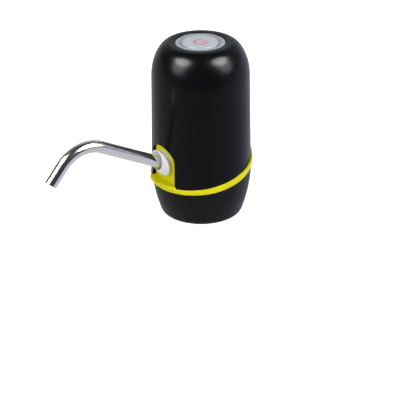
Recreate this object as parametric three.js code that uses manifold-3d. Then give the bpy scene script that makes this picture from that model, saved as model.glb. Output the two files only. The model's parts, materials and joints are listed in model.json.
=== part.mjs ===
// Electric pump that sits on the neck of a large water bottle.
// Millimetres, +Z up. The origin is on the pump's axis in the plane of the skirt's
// bottom rim. The spout points to -Y and the charging socket to +Y.
import * as THREE from 'three';
import { mergeVertices } from 'three/addons/utils/BufferGeometryUtils.js';
import Module from 'manifold-3d';

const wasm = await Module();
wasm.setup();

// Outer body: a rounded skirt below a tall dome.
const HEIGHT = 134.4;
const BODY_R = 37.4;
const SHOULDER_Z = 109.5;
const SHOULDER_R = 36.25;
const TOP_FLAT_R = 23.1;
const DOME_POWER = 1.85;
const HOUSING_FOOT_Z = 36.5;
const SKIRT_TOP_Z = 33.5;
const RIM_OUTER_R = 28.7;
const RIM_FILLET = 5.5;
const RIM_ANGLE = THREE.MathUtils.degToRad(60.6);
const WALL_ANGLE = THREE.MathUtils.degToRad(19.3);
const NECK_R = 27.5;
const SKIRT_WALL = 2.4;
const HOUSING_INNER_R = 35.1;
const HOUSING_WALL = 2.1;

// Yellow trim ring: both edges are a mean height with a first and a second harmonic
// of the azimuth from the spout, so it dips at the spout and climbs to the rear.
const RING_LOW = [33.7, -7.9, 1.5];
const RING_TOP = [38.05, -8.55, 1.1];
const RING_OUTER_R = 38.65;
const RING_INNER_R = 37.5;
const SEAM_MID_Z = 36.2;
const SEAM_RISE = 8.15;
const SEAM_HALF_GAP = 0.5;
const FLANGE_HALF = 0.4;
const ARCH_HALF_WIDTH = 14;
const ARCH_SPRING_Z = 49.5;
const ARCH_RISE = 11.9;
const SILL_TOP_Z = 30.6;
const FRAME_R = 33.2;
const FRAME_WIDTH = 1.3;
const TONGUE_R = 33;
const TONGUE_WALL = 1.4;
const TONGUE_MARGIN = 2.2;
const TONGUE_RIM = 0.3;
const TONGUE_RIM_WIDTH = 2.4;

// Spout: a steel tube whose straight root is the line through (SPOUT_Y, SPOUT_Z).
const SPOUT_TILT = THREE.MathUtils.degToRad(27.5);
const SPOUT_FALL = THREE.MathUtils.degToRad(48.4);
const SPOUT_Y = -34.8;
const SPOUT_Z = 46.6;
const TUBE_R = 4.6;
const TUBE_BORE_R = 4.1;
const TUBE_INSERT = 16.5;
const TUBE_RISE = 59.4;
const TUBE_BEND_R = 27.3;
const TUBE_DROP = 15.8;
const COLLAR_BORE_R = 4.95;
const SOCKET_R = 8.9;
const SOCKET_BORE_R = 6.7;
const SOCKET_MOUTH = -8.4;
const SOCKET_END = -19.5;

// The collar's bulb lies on its own flatter axis from (COLLAR_Y, COLLAR_Z); its stem
// and bore follow the tube.
const COLLAR_TILT = THREE.MathUtils.degToRad(-13.1);
const COLLAR_Y = -34;
const COLLAR_Z = 48.14;
const COLLAR_BASE_R = 8.2;
const COLLAR_FRONT_R = 4.8;
const COLLAR_BOW = 3.9;
const COLLAR_LENGTH = 7.2;
const DISH_FLOOR = 2.25;
const DISH_SLOPE = 3;
const STEM_R = 6.4;
const STEM_GROOVE_R = 5.6;

// Button in the top.
const BEZEL_TOP_Z = 133.96;
const BEZEL_FACE_Z = 132.95;
const BEZEL_R = 18.1;
const BEZEL_RECESS_R = 18.5;
const BEZEL_SEAT_Z = 132.3;
const BEZEL_HOLE_R = 13.5;
const BUTTON_R = 13.2;
const BUTTON_TOP_Z = 134.2;
const SYMBOL_R = 4.75;
const SYMBOL_STROKE = 1.1;
const BOARD_TOP_Z = 123.3;
const BOARD_THICKNESS = 1.4;

// Base: the plate that carries the works and seats on the bottle's neck.
const LEDGE_TOP_Z = 23.2;
const PLATE_Z = 23.3;
const PLATE_TOP_Z = 25.8;
const PLATE_R = 33.3;
const PILLARS = [[20, -20], [-26, -10], [-11, 26]];
const PILLAR_R = 2.6;
const BRACE_Z = 90;
const BRACE_THICKNESS = 2;

// Pump, motor and battery.
const PUMP_X = -8.5;
const PUMP_Y = 4;
const PUMP_R = 13.5;
const PUMP_Z = 37.5;
const PORT_Z = 41;
const PORT_X = -18.5;
const HOSE_PORT_Y = -19;
const HOSE_PORT_Z = 38.4;
const NIPPLE_R = 2.4;
const NIPPLE_BORE_R = 1.5;
const SUCTION_R = 3.2;
const MOTOR_R = 12.2;
const MOTOR_Z = 68.2;
const MOTOR_TOP_Z = 98.2;
const WOBBLE_TILT = THREE.MathUtils.degToRad(5);
const WOBBLE_POINT_Z = 56.5;
const CHAMBER_RADIUS = 7.2;
const BATTERY_X = 17.5;
const BATTERY_Y = 4;
const BATTERY_R = 9.15;
const BATTERY_Z = 34;
const BATTERY_TOP_Z = 99;
const SOCKET_Z = 54;

const ROUND = 40;
const FINE = 18;
const COARSE = 12;
const SMALL = 8;

const finish = (color, roughness, metalness = 0) =>
  new THREE.MeshStandardMaterial({ color, roughness, metalness });
const gloss_black = finish(0x1c1d20, 0.35);
const skirt_black = finish(0x232324, 0.5);
const yellow = finish(0xe6dc00, 0.4);
const silver = finish(0xb9bcc2, 0.35, 0.9);
const steel = finish(0xc9c9cc, 0.15, 1);
const milky = finish(0xeceaf0, 0.35);
const symbol_red = finish(0xc8466a, 0.4);
const silicone = finish(0xd9dcdc, 0.7);
const black_rubber = finish(0x1a1a1a, 0.85);
const works_plastic = finish(0x3a3c40, 0.6);
const pump_plastic = finish(0xe4e2da, 0.5);
const can_metal = finish(0xaeb0b3, 0.3, 1);
const copper = finish(0xb8733a, 0.35, 0.9);
const magnet_grey = finish(0x4c4c50, 0.7, 0.3);
const cell_wrap = finish(0x2f7fb8, 0.4);
const nickel = finish(0xc4c2b8, 0.3, 1);
const board_green = finish(0x1f6b3d, 0.55);
const screw_steel = finish(0xa8a8a8, 0.35, 1);
const led_white = finish(0xf2f2f2, 0.3);

// One closed mesh with shared vertices and outward faces, without slivers.
function close(geometry) {
  geometry.deleteAttribute('normal');
  geometry.deleteAttribute('uv');
  const merged = mergeVertices(geometry, 1e-4);
  const place = merged.attributes.position;
  const index = merged.index.array;
  const kept = [];
  const [a, b, c] = [new THREE.Vector3(), new THREE.Vector3(), new THREE.Vector3()];
  let volume = 0;
  for (let i = 0; i < index.length; i += 3) {
    const [p, q, r] = [index[i], index[i + 1], index[i + 2]];
    if (p === q || q === r || r === p) continue;
    kept.push(p, q, r);
    a.fromBufferAttribute(place, p);
    b.fromBufferAttribute(place, q);
    c.fromBufferAttribute(place, r);
    volume += a.dot(b.cross(c));
  }
  if (volume < 0) kept.reverse();
  merged.setIndex(kept);
  return merged;
}

function toSolid(geometry) {
  const closed = close(geometry);
  const vertProperties = new Float32Array(closed.attributes.position.array);
  const triVerts = new Uint32Array(closed.index.array);
  return new wasm.Manifold(new wasm.Mesh({ numProp: 3, vertProperties, triVerts }));
}

function toGeometry(solid) {
  const { vertProperties, triVerts } = solid.getMesh();
  const geometry = new THREE.BufferGeometry();
  geometry.setAttribute('position', new THREE.Float32BufferAttribute(vertProperties, 3));
  geometry.setIndex(Array.from(triVerts));
  return geometry;
}

const join = (first, ...rest) => rest.reduce((sum, piece) => sum.add(piece), first);
const cut = (first, ...rest) => rest.reduce((left, piece) => left.subtract(piece), first);

// A profile of [radius, z] pairs turned about Z; azimuth 0 is at -Y.
function turned(profile, segments = COARSE) {
  const points = profile.map(([r, z]) => new THREE.Vector2(r, z));
  return new THREE.LatheGeometry(points, segments).rotateX(Math.PI / 2);
}

const closedProfile = (profile) => [...profile, profile[0]];
const rod = (r, low, high, segments = COARSE) =>
  turned([[0, low], [r, low], [r, high], [0, high]], segments);
const pipe = (inner, outer, low, high, segments = COARSE) =>
  turned(closedProfile([[inner, low], [outer, low], [outer, high], [inner, high]]), segments);

function block([x0, y0, z0], [x1, y1, z1]) {
  return new THREE.BoxGeometry(x1 - x0, y1 - y0, z1 - z0)
    .translate((x0 + x1) / 2, (y0 + y1) / 2, (z0 + z1) / 2);
}

// Turns a piece made about Z so that it points to -Y and up by the tilt.
const pointed = (geometry, tilt, y, z) => geometry.rotateX(Math.PI / 2 - tilt).translate(0, y, z);
const alongSpout = (geometry) => pointed(geometry, SPOUT_TILT, SPOUT_Y, SPOUT_Z);

// An outline in the XZ plane pushed from y = near towards -Y by depth.
function pushed(shape, near, depth, curveSegments = SMALL) {
  return new THREE.ExtrudeGeometry(shape, { depth, bevelEnabled: false, curveSegments })
    .rotateX(Math.PI / 2).translate(0, near, 0);
}

function archShape(margin, bottom) {
  const w = ARCH_HALF_WIDTH + margin;
  const shape = new THREE.Shape();
  shape.moveTo(-w, bottom);
  shape.lineTo(w, bottom);
  shape.absellipse(0, ARCH_SPRING_Z, w, ARCH_RISE + margin, 0, Math.PI, false);
  shape.lineTo(-w, bottom);
  return shape;
}

function swept(shape, path, steps, sides) {
  return new THREE.ExtrudeGeometry(shape,
    { steps, curveSegments: sides, bevelEnabled: false, extrudePath: path });
}

function ringShape(outer, inner) {
  const shape = new THREE.Shape().absarc(0, 0, outer, 0, 2 * Math.PI);
  if (inner) shape.holes.push(new THREE.Path().absarc(0, 0, inner, 0, 2 * Math.PI));
  return shape;
}

const spread = (count, of) => Array.from({ length: count }, (_, i) => of(i / (count - 1)));

// The skirt's outline: a fillet up from the rim, then a wall whose slope falls
// evenly, which starts where the fillet ends.
const rimArc = spread(4, (t) => {
  const angle = RIM_ANGLE + (WALL_ANGLE - RIM_ANGLE) * t;
  return [RIM_OUTER_R + RIM_FILLET * (Math.cos(angle) - Math.cos(RIM_ANGLE)),
    RIM_FILLET * (Math.sin(RIM_ANGLE) - Math.sin(angle))];
});
const [WALL_FOOT_R, WALL_FOOT_Z] = rimArc[3];

function skirtRadius(z) {
  const height = SKIRT_TOP_Z - WALL_FOOT_Z;
  const t = (z - WALL_FOOT_Z) / height;
  const slope = Math.tan(WALL_ANGLE);
  const topSlope = 2 * (BODY_R - WALL_FOOT_R) / height - slope;
  return WALL_FOOT_R + height * (slope * t + (topSlope - slope) * t * t / 2);
}

const skirtHeights = spread(6, (t) => WALL_FOOT_Z + (SKIRT_TOP_Z - WALL_FOOT_Z) * t);

function domeArc(inset, count) {
  return spread(count, (t) => {
    const angle = t * Math.PI / 2;
    const r = TOP_FLAT_R + (SHOULDER_R - inset - TOP_FLAT_R) * Math.cos(angle) ** (2 / DOME_POWER);
    const rise = (HEIGHT - inset - SHOULDER_Z) * Math.sin(angle) ** (2 / DOME_POWER);
    return [r, SHOULDER_Z + rise];
  });
}

// The half space above or below the tilted seam between housing and skirt.
function beyondSeam(offset, above) {
  const size = 200;
  const slope = Math.atan2(SEAM_RISE, BODY_R);
  const slab = new THREE.BoxGeometry(size, size, size)
    .translate(0, 0, above ? size / 2 : -size / 2)
    .rotateX(slope).translate(0, 0, SEAM_MID_Z + offset);
  return toSolid(slab);
}

const at = (geometry, x, y, z = 0) => geometry.translate(x, y, z);
const polar = (radius, degrees) => {
  const angle = THREE.MathUtils.degToRad(degrees);
  return [radius * Math.cos(angle), radius * Math.sin(angle)];
};

const BOARD_POSTS = [90, 210, 330].map((degrees) => polar(20, degrees));
const PUMP_SCREWS = [35, 155, 275].map((degrees) => {
  const [x, y] = polar(11.3, degrees);
  return [PUMP_X + x, PUMP_Y + y];
});
const PUMP_FEET = [75, 195, 240].map((degrees) => {
  const [x, y] = polar(11, degrees);
  return [PUMP_X + x, PUMP_Y + y];
});
const BASE_SCREWS = [20, 140, 260].map((degrees) => polar(31, degrees));

const pump = new THREE.Group();
function add(name, shape, material) {
  const geometry = shape instanceof THREE.BufferGeometry ? close(shape) : toGeometry(shape);
  geometry.computeVertexNormals();
  const mesh = new THREE.Mesh(geometry, material);
  mesh.name = name;
  pump.add(mesh);
}

function socketHole(width, height, near, depth) {
  const r = height / 2;
  const shape = new THREE.Shape();
  shape.absarc(width / 2 - r, SOCKET_Z, r, -Math.PI / 2, Math.PI / 2, false);
  shape.absarc(-width / 2 + r, SOCKET_Z, r, Math.PI / 2, 3 * Math.PI / 2, false);
  return pushed(shape, near, depth, 6);
}

function housing() {
  const outside = [[BODY_R, 24], [BODY_R, HOUSING_FOOT_Z], ...domeArc(0, 9)];
  const top = [
    [BEZEL_RECESS_R, HEIGHT], [BEZEL_RECESS_R, BEZEL_SEAT_Z],
    [17.6, BEZEL_SEAT_Z], [17.6, HEIGHT - HOUSING_WALL - 2],
  ];
  const inside = [...domeArc(HOUSING_WALL, 5).reverse().slice(1),
    [HOUSING_INNER_R, 66], [HOUSING_INNER_R, 24]];
  const shell = toSolid(turned(closedProfile([...outside, ...top, ...inside]), ROUND));
  const posts = BOARD_POSTS.map(([x, y]) =>
    toSolid(at(rod(2.3, BOARD_TOP_Z + 0.1, 131.5, SMALL), x, y)));
  const bores = BOARD_POSTS.map(([x, y]) => toSolid(at(rod(1.1, 100, 128.5, 8), x, y)));
  const frame = toSolid(pipe(FRAME_R, HOUSING_INNER_R + 0.1, 15, 80, ROUND))
    .intersect(toSolid(pushed(archShape(FRAME_WIDTH, 20), 0, 60)));
  const body = join(shell, frame, ...posts).intersect(beyondSeam(SEAM_HALF_GAP, true));
  return cut(body, ...bores,
    toSolid(pushed(archShape(0, 20), 0, 60)),
    toSolid(socketHole(9.8, 4, 45, 15)));
}

function skirt() {
  const inner = (z) => Math.max(NECK_R, skirtRadius(z) - SKIRT_WALL);
  const upper = 45;
  const profile = [
    [NECK_R, 0], ...rimArc, ...skirtHeights.slice(1).map((z) => [skirtRadius(z), z]),
    [BODY_R, upper], [BODY_R - SKIRT_WALL, upper], [BODY_R - SKIRT_WALL, SKIRT_TOP_Z],
    [inner(28), 28], [inner(PLATE_Z), LEDGE_TOP_Z], [28.4, LEDGE_TOP_Z], [28.4, 19],
    [inner(17), 16.8], [inner(10), 10], [inner(6.5), 6.5], [NECK_R, 3],
  ];
  const shell = toSolid(turned(closedProfile(profile), ROUND));
  const bores = BASE_SCREWS.map(([x, y]) => toSolid(at(rod(1.1, 19.9, 30, 8), x, y)));
  return cut(shell.intersect(beyondSeam(-SEAM_HALF_GAP, false)), ...bores);
}

// Maps a band made between z = 0 and z = 1 onto the ring's wavy edges, and draws its
// outside in as far as the skirt behind it narrows.
function waved(geometry) {
  const edge = ([mean, first, second], azimuth) =>
    mean + first * Math.cos(azimuth) + second * Math.cos(2 * azimuth);
  const place = geometry.attributes.position;
  for (let i = 0; i < place.count; i += 1) {
    const azimuth = Math.atan2(place.getX(i), -place.getY(i));
    const low = edge(RING_LOW, azimuth);
    const z = low + (edge(RING_TOP, azimuth) - low) * place.getZ(i);
    place.setZ(i, z);
    const r = Math.hypot(place.getX(i), place.getY(i));
    if (r < RING_INNER_R + 0.1) continue;
    const scale = 1 - (BODY_R - skirtRadius(Math.min(z, SKIRT_TOP_Z))) / r;
    place.setXY(i, place.getX(i) * scale, place.getY(i) * scale);
  }
  return geometry;
}

function trimRing() {
  const bandProfile = [
    [RING_INNER_R, 0], [RING_OUTER_R - 0.35, 0], [RING_OUTER_R, 0.12],
    [RING_OUTER_R, 0.88], [RING_OUTER_R - 0.35, 1], [RING_INNER_R, 1],
  ];
  const band = toSolid(waved(turned(closedProfile(bandProfile), ROUND)));
  const back = TONGUE_R - TONGUE_WALL;
  const slab = toSolid(pipe(back, RING_INNER_R + 0.3, 15, 60, ROUND));
  const flange = toSolid(pipe(HOUSING_INNER_R - 1.6, RING_INNER_R + 0.3, 15, 60, ROUND))
    .intersect(beyondSeam(-FLANGE_HALF, true)).intersect(beyondSeam(FLANGE_HALF, false));
  const sill = slab.intersect(beyondSeam(-FLANGE_HALF, true))
    .intersect(toSolid(block([-ARCH_HALF_WIDTH + 0.15, -50, 15],
      [ARCH_HALF_WIDTH - 0.15, 0, SILL_TOP_Z])));
  const tongue = toSolid(pipe(back, TONGUE_R, 15, 80, ROUND))
    .intersect(toSolid(pushed(archShape(TONGUE_MARGIN, 15), 0, 60)))
    .intersect(beyondSeam(-FLANGE_HALF, true));
  const rimTube = toSolid(pipe(back, TONGUE_R + TONGUE_RIM, 15, 80, ROUND));
  const rim = rimTube.intersect(toSolid(pushed(archShape(-0.15, 29), 0, 60)))
    .subtract(toSolid(pushed(archShape(-TONGUE_RIM_WIDTH, 15), 0, 60)));
  const hole = toSolid(alongSpout(rod(STEM_R + 0.25, -20, 20, FINE)));
  return cut(join(band, flange, sill, tongue, rim), hole);
}

function chassis() {
  const plate = toSolid(rod(PLATE_R, PLATE_Z, PLATE_TOP_Z, ROUND));
  const pillars = PILLARS.map(([x, y]) => toSolid(at(rod(PILLAR_R, 24, BRACE_Z - 0.1, SMALL), x, y)));
  const feet = PUMP_FEET.map(([x, y]) => toSolid(at(rod(2, 24, PUMP_Z - 0.1, SMALL), x, y)));
  const rails = [-1, 1].map((side) => toSolid(block(
    [Math.min(side * 8.4, side * 10.4), 28, 24], [Math.max(side * 8.4, side * 10.4), 31.4, 66])));
  const stand = toSolid(block([-5, -27, 24], [5, -22, 30.1]));
  const bores = [
    toSolid(rod(4.7, 20, 30)),
    ...PILLARS.map(([x, y]) => toSolid(at(rod(1.1, BRACE_Z - 9, BRACE_Z + 5, 8), x, y))),
    ...BASE_SCREWS.map(([x, y]) => toSolid(at(rod(1.4, 20, 30, 8), x, y))),
  ];
  return cut(join(plate, ...pillars, ...feet, ...rails, stand), ...bores);
}

function screw([x, y], seat, length, upward, headR = 1.9) {
  const s = upward ? 1 : -1;
  const profile = [[0, seat + s * length], [0.95, seat + s * length], [0.95, seat],
    [headR, seat], [headR, seat - s * 1.1], [headR - 0.5, seat - s * 1.6], [0, seat - s * 1.6]];
  return at(turned(profile, SMALL), x, y);
}

function inletBarb() {
  const bore = 2.2;
  const teeth = [9, 12, 15].flatMap((z) => [[3, z], [4, z + 2.6], [3.2, z + 2.6]]);
  return turned(closedProfile([
    [bore, 8], [2.9, 8], ...teeth, [4.4, 18.6], [4.4, PLATE_TOP_Z + 0.1],
    [6.7, PLATE_TOP_Z + 0.1], [6.7, 27.5], [SUCTION_R, 27.5], [SUCTION_R, 33], [bore, 33],
  ]), COARSE);
}

function pumpHead() {
  const shell = toSolid(at(turned(closedProfile([
    [0, PUMP_Z], [PUMP_R, PUMP_Z], [PUMP_R, 49.5], [11, 49.5], [11, 40.5],
    [6, 40.5], [6, 49.5], [5, 49.5], [5, 40.5], [0, 40.5],
  ]).slice(0, -1), FINE), PUMP_X, PUMP_Y));
  const inlet = toSolid(rod(SUCTION_R, 33.6, 39, SMALL));
  const outlet = toSolid(rod(NIPPLE_R, 1, 16, SMALL).rotateX(Math.PI / 2)
    .translate(PORT_X, PUMP_Y, PORT_Z + 1));
  const lugs = PUMP_SCREWS.map(([x, y]) => toSolid(at(rod(2.6, 39, 49.5, SMALL), x, y)));
  const inletBore = toSolid(rod(1.8, 30, 45, 8));
  const outletBore = toSolid(rod(NIPPLE_BORE_R, 6, 20, 8).rotateX(Math.PI / 2)
    .translate(PORT_X, PUMP_Y, PORT_Z + 1));
  const holes = PUMP_SCREWS.flatMap(([x, y]) => [
    toSolid(at(rod(1.2, 30, 60, 8), x, y)), toSolid(at(rod(2.2, 30, 39.3, SMALL), x, y))]);
  return cut(join(shell, inlet, outlet, ...lugs), inletBore, outletBore, ...holes);
}

function pumpLayer(shape, low, high) {
  const holes = PUMP_SCREWS.map(([x, y]) => toSolid(at(rod(1.2, low - 1, high + 1, 8), x, y)));
  return cut(shape, ...holes);
}

const chamberPlaces = (radius) => [95, 215, 335].map((degrees) => {
  const [x, y] = polar(radius, degrees);
  return [PUMP_X + x, PUMP_Y + y];
});

function valvePlate() {
  const disc = toSolid(at(rod(PUMP_R, 49.6, 51.4, FINE), PUMP_X, PUMP_Y));
  const ports = [3.4, 8.2].flatMap((radius) => chamberPlaces(radius)
    .map(([x, y]) => toSolid(at(rod(0.9, 40, 60, 8), x, y))));
  return cut(pumpLayer(disc, 49, 52), ...ports);
}

function diaphragm() {
  const sheet = toSolid(at(rod(PUMP_R, 51.5, 52.9, FINE), PUMP_X, PUMP_Y));
  const cups = chamberPlaces(CHAMBER_RADIUS).map(([x, y]) => toSolid(at(
    turned([[0, 52], [3.6, 52], [3.6, 54.6], [2.6, 55.6], [1.2, 56], [0, 56]], SMALL), x, y)));
  const hollows = chamberPlaces(CHAMBER_RADIUS).map(([x, y]) => toSolid(at(
    turned([[0, 51], [2.9, 51], [2.9, 54.2], [0, 54.8]], SMALL), x, y)));
  return pumpLayer(cut(join(sheet, ...cups), ...hollows), 51, 53);
}

function pumpFrame() {
  const shell = toSolid(at(turned(closedProfile([
    [12, 53], [PUMP_R, 53], [PUMP_R, MOTOR_Z - 0.2], [3.6, MOTOR_Z - 0.2], [3.6, 66], [12, 66],
  ]), FINE), PUMP_X, PUMP_Y));
  const lugs = PUMP_SCREWS.map(([x, y]) => toSolid(at(rod(2.2, 53, 66.5, SMALL), x, y)));
  const bores = PUMP_SCREWS.map(([x, y]) => toSolid(at(rod(1.05, 50, 61, 8), x, y)));
  const outline = toSolid(at(rod(PUMP_R, 50, 70, FINE), PUMP_X, PUMP_Y));
  return cut(join(shell, ...lugs).intersect(outline), ...bores);
}

function motorCan() {
  return at(turned(closedProfile([
    [1.4, MOTOR_Z - 1.2], [3.2, MOTOR_Z - 1.2], [3.2, MOTOR_Z], [MOTOR_R, MOTOR_Z],
    [MOTOR_R, MOTOR_TOP_Z], [MOTOR_R - 0.9, MOTOR_TOP_Z], [MOTOR_R - 0.9, MOTOR_Z + 0.9],
    [1.4, MOTOR_Z + 0.9],
  ]), FINE), PUMP_X, PUMP_Y);
}

function endBell() {
  return at(turned([
    [0, 96.5], [MOTOR_R - 1.1, 96.5], [MOTOR_R - 1.1, MOTOR_TOP_Z + 0.1],
    [MOTOR_R - 0.2, MOTOR_TOP_Z + 0.1], [MOTOR_R - 0.4, 100.4], [3.2, 100.4], [3, 101.8], [0, 101.8],
  ], FINE), PUMP_X, PUMP_Y);
}

function magnet(side) {
  const ring = toSolid(pipe(9.2, 11.1, 72, 93, FINE));
  const keep = toSolid(block(side > 0 ? [1.5, -20, 60] : [-20, -20, 60],
    side > 0 ? [20, 20, 100] : [-1.5, 20, 100]));
  return ring.intersect(keep).translate([PUMP_X, PUMP_Y, 0]);
}

// Leans a piece made about Z by the wobble angle, about the nutation point.
function leaned(geometry) {
  return geometry.translate(0, 0, -WOBBLE_POINT_Z).rotateY(WOBBLE_TILT)
    .translate(PUMP_X, PUMP_Y, WOBBLE_POINT_Z);
}

function eccentric() {
  const hub = toSolid(at(turned(closedProfile([[1.05, 61.6], [4.6, 61.6], [4.6, 65], [1.05, 65]]),
    COARSE), PUMP_X, PUMP_Y));
  const web = toSolid(at(rod(2.2, 61.6, 62.4, SMALL), PUMP_X, PUMP_Y));
  const pin = toSolid(leaned(rod(0.8, 57.3, 62, SMALL)));
  return join(hub, web, pin);
}

function wobblePlate() {
  const hub = toSolid(rod(2.5, 57, 60.6, COARSE));
  const arms = [95, 215, 335].flatMap((degrees) => {
    const angle = THREE.MathUtils.degToRad(degrees);
    const [x, y] = polar(CHAMBER_RADIUS, degrees);
    return [
      toSolid(block([0, -1.3, 58.8], [CHAMBER_RADIUS, 1.3, 60.2]).rotateZ(angle)),
      toSolid(at(rod(2.1, 58.6, 60.2, SMALL), x, y)),
    ];
  });
  const bore = toSolid(rod(1.1, 55, 65, SMALL));
  const lean = new THREE.Matrix4().makeTranslation(PUMP_X, PUMP_Y, WOBBLE_POINT_Z)
    .multiply(new THREE.Matrix4().makeRotationY(WOBBLE_TILT))
    .multiply(new THREE.Matrix4().makeTranslation(0, 0, -WOBBLE_POINT_Z));
  return toGeometry(cut(join(hub, ...arms), bore)).applyMatrix4(lean);
}

function batteryCell() {
  return at(turned([
    [0, BATTERY_Z], [BATTERY_R - 0.4, BATTERY_Z], [BATTERY_R, BATTERY_Z + 0.4],
    [BATTERY_R, BATTERY_TOP_Z - 0.4], [BATTERY_R - 0.6, BATTERY_TOP_Z], [4, BATTERY_TOP_Z],
    [4, BATTERY_TOP_Z + 0.9], [0, BATTERY_TOP_Z + 0.9],
  ], FINE), BATTERY_X, BATTERY_Y);
}

function batteryTray() {
  return at(turned([
    [0, PLATE_TOP_Z + 0.1], [10.9, PLATE_TOP_Z + 0.1], [10.9, 48], [9.45, 48],
    [9.45, 33.2], [0, 33.2],
  ], FINE), BATTERY_X, BATTERY_Y);
}

function bracePlate() {
  const disc = toSolid(rod(33, BRACE_Z, BRACE_Z + BRACE_THICKNESS, ROUND));
  return cut(disc,
    toSolid(at(rod(13.4, 80, 100, FINE), PUMP_X, PUMP_Y)),
    toSolid(at(rod(9.5, 80, 100, FINE), BATTERY_X, BATTERY_Y)),
    toSolid(at(rod(4, 80, 100, SMALL), 4, -21)),
    ...PILLARS.map(([x, y]) => toSolid(at(rod(1.3, 80, 100, 8), x, y))));
}

function outletSocket() {
  const cup = alongSpout(turned(closedProfile([
    [0, SOCKET_END - 1.5], [SOCKET_R - 1, SOCKET_END - 1.5], [SOCKET_R - 1, SOCKET_MOUTH - 3],
    [SOCKET_R, SOCKET_MOUTH - 3], [SOCKET_R, SOCKET_MOUTH], [SOCKET_BORE_R, SOCKET_MOUTH],
    [SOCKET_BORE_R, SOCKET_END], [0, SOCKET_END],
  ]).slice(0, -1), FINE));
  const nipple = toSolid(rod(NIPPLE_R, 6.6, 13, SMALL).rotateY(-Math.PI / 2)
    .translate(0, HOSE_PORT_Y, HOSE_PORT_Z));
  const bore = toSolid(rod(NIPPLE_BORE_R, 2, 20, 8).rotateY(-Math.PI / 2)
    .translate(0, HOSE_PORT_Y, HOSE_PORT_Z));
  return cut(join(toSolid(cup), nipple), bore);
}

function spoutCollar() {
  const outline = spread(10, (t) => [
    COLLAR_BASE_R + (COLLAR_FRONT_R - COLLAR_BASE_R) * t + COLLAR_BOW * Math.sin(Math.PI * t),
    COLLAR_LENGTH * t,
  ]);
  const bulb = toSolid(pointed(turned([[0, -4], [COLLAR_BASE_R, -4], ...outline, [0, COLLAR_LENGTH]],
    26), COLLAR_TILT, COLLAR_Y, COLLAR_Z));
  const dishTop = DISH_FLOOR + (12 - COLLAR_BORE_R) * DISH_SLOPE;
  const dish = toSolid(alongSpout(turned([[0, DISH_FLOOR], [COLLAR_BORE_R, DISH_FLOOR],
    [12, dishTop], [0, dishTop]], FINE)));
  const stem = toSolid(alongSpout(turned([
    [0, -15], [STEM_R, -15], [STEM_R, -10.9], [STEM_GROOVE_R, -10.9], [STEM_GROOVE_R, -9.1],
    [STEM_R, -9.1], [STEM_R, 12], [0, 12],
  ], FINE)));
  const within = (r) => toSolid(rod(r, 10, 90, ROUND));
  return cut(join(cut(bulb, within(TONGUE_R + 0.25)), stem.intersect(within(TONGUE_R + 0.3))),
    dish, toSolid(alongSpout(rod(COLLAR_BORE_R, -20, 20, FINE))));
}

function spoutPath() {
  const start = new THREE.Vector3(0, SPOUT_Y + TUBE_INSERT * Math.cos(SPOUT_TILT),
    SPOUT_Z - TUBE_INSERT * Math.sin(SPOUT_TILT));
  const forward = (angle) => new THREE.Vector3(0, -Math.cos(angle), Math.sin(angle));
  const upward = (angle) => new THREE.Vector3(0, Math.sin(angle), Math.cos(angle));
  const bendStart = start.clone().addScaledVector(forward(SPOUT_TILT), TUBE_INSERT + TUBE_RISE);
  const centre = bendStart.clone().addScaledVector(upward(SPOUT_TILT), -TUBE_BEND_R);
  const bend = new THREE.Curve();
  bend.getPoint = (t, target = new THREE.Vector3()) => {
    const angle = SPOUT_TILT - (SPOUT_TILT + SPOUT_FALL) * t;
    return target.copy(centre).addScaledVector(upward(angle), TUBE_BEND_R);
  };
  const bendEnd = bend.getPoint(1);
  const tip = bendEnd.clone().addScaledVector(forward(-SPOUT_FALL), TUBE_DROP);
  const path = new THREE.CurvePath();
  path.add(new THREE.LineCurve3(start, bendStart));
  path.add(bend);
  path.add(new THREE.LineCurve3(bendEnd, tip));
  return path;
}

function outletHose() {
  const path = new THREE.CurvePath();
  const point = (x, y, z) => new THREE.Vector3(x, y, z);
  const y1 = -12.6;
  const z1 = PORT_Z + 1;
  path.add(new THREE.LineCurve3(point(PORT_X, -9, z1), point(PORT_X, y1, z1)));
  path.add(new THREE.CubicBezierCurve3(point(PORT_X, y1, z1), point(PORT_X, y1 - 4, z1),
    point(PORT_X + 1.6, HOSE_PORT_Y, HOSE_PORT_Z), point(-13.2, HOSE_PORT_Y, HOSE_PORT_Z)));
  path.add(new THREE.LineCurve3(point(-13.2, HOSE_PORT_Y, HOSE_PORT_Z),
    point(-9, HOSE_PORT_Y, HOSE_PORT_Z)));
  return swept(ringShape(NIPPLE_R + 1.4, NIPPLE_R + 0.3), path, 12, 4);
}

function wire(points) {
  const path = new THREE.CatmullRomCurve3(points.map((p) => new THREE.Vector3(...p)));
  return swept(ringShape(0.7), path, 12, 3);
}

function buttonCap() {
  return turned([
    [0, 128.3], [3.4, 128.3], [3.4, 132.1], [11.6, 132.1], [11.6, 131.4], [14.6, 131.4],
    [14.6, 132.1], [BUTTON_R, 132.1], [BUTTON_R, BUTTON_TOP_Z - 0.35],
    [BUTTON_R - 0.4, BUTTON_TOP_Z], [BUTTON_R - 1, BUTTON_TOP_Z], [0, BUTTON_TOP_Z - 0.1],
  ], FINE);
}

function buttonBezel() {
  return turned(closedProfile([
    [BEZEL_HOLE_R, BEZEL_SEAT_Z + 0.1], [15.2, BEZEL_SEAT_Z + 0.1], [15.2, 129.6], [17.3, 129.6],
    [17.3, BEZEL_SEAT_Z + 0.1], [BEZEL_R, BEZEL_SEAT_Z + 0.1], [BEZEL_R, BEZEL_TOP_Z - 0.3],
    [BEZEL_R - 0.4, BEZEL_TOP_Z], [BEZEL_R - 1.1, BEZEL_TOP_Z], [BEZEL_R - 1.4, BEZEL_FACE_Z],
    [BEZEL_HOLE_R, BEZEL_FACE_Z],
  ]), ROUND);
}

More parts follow.
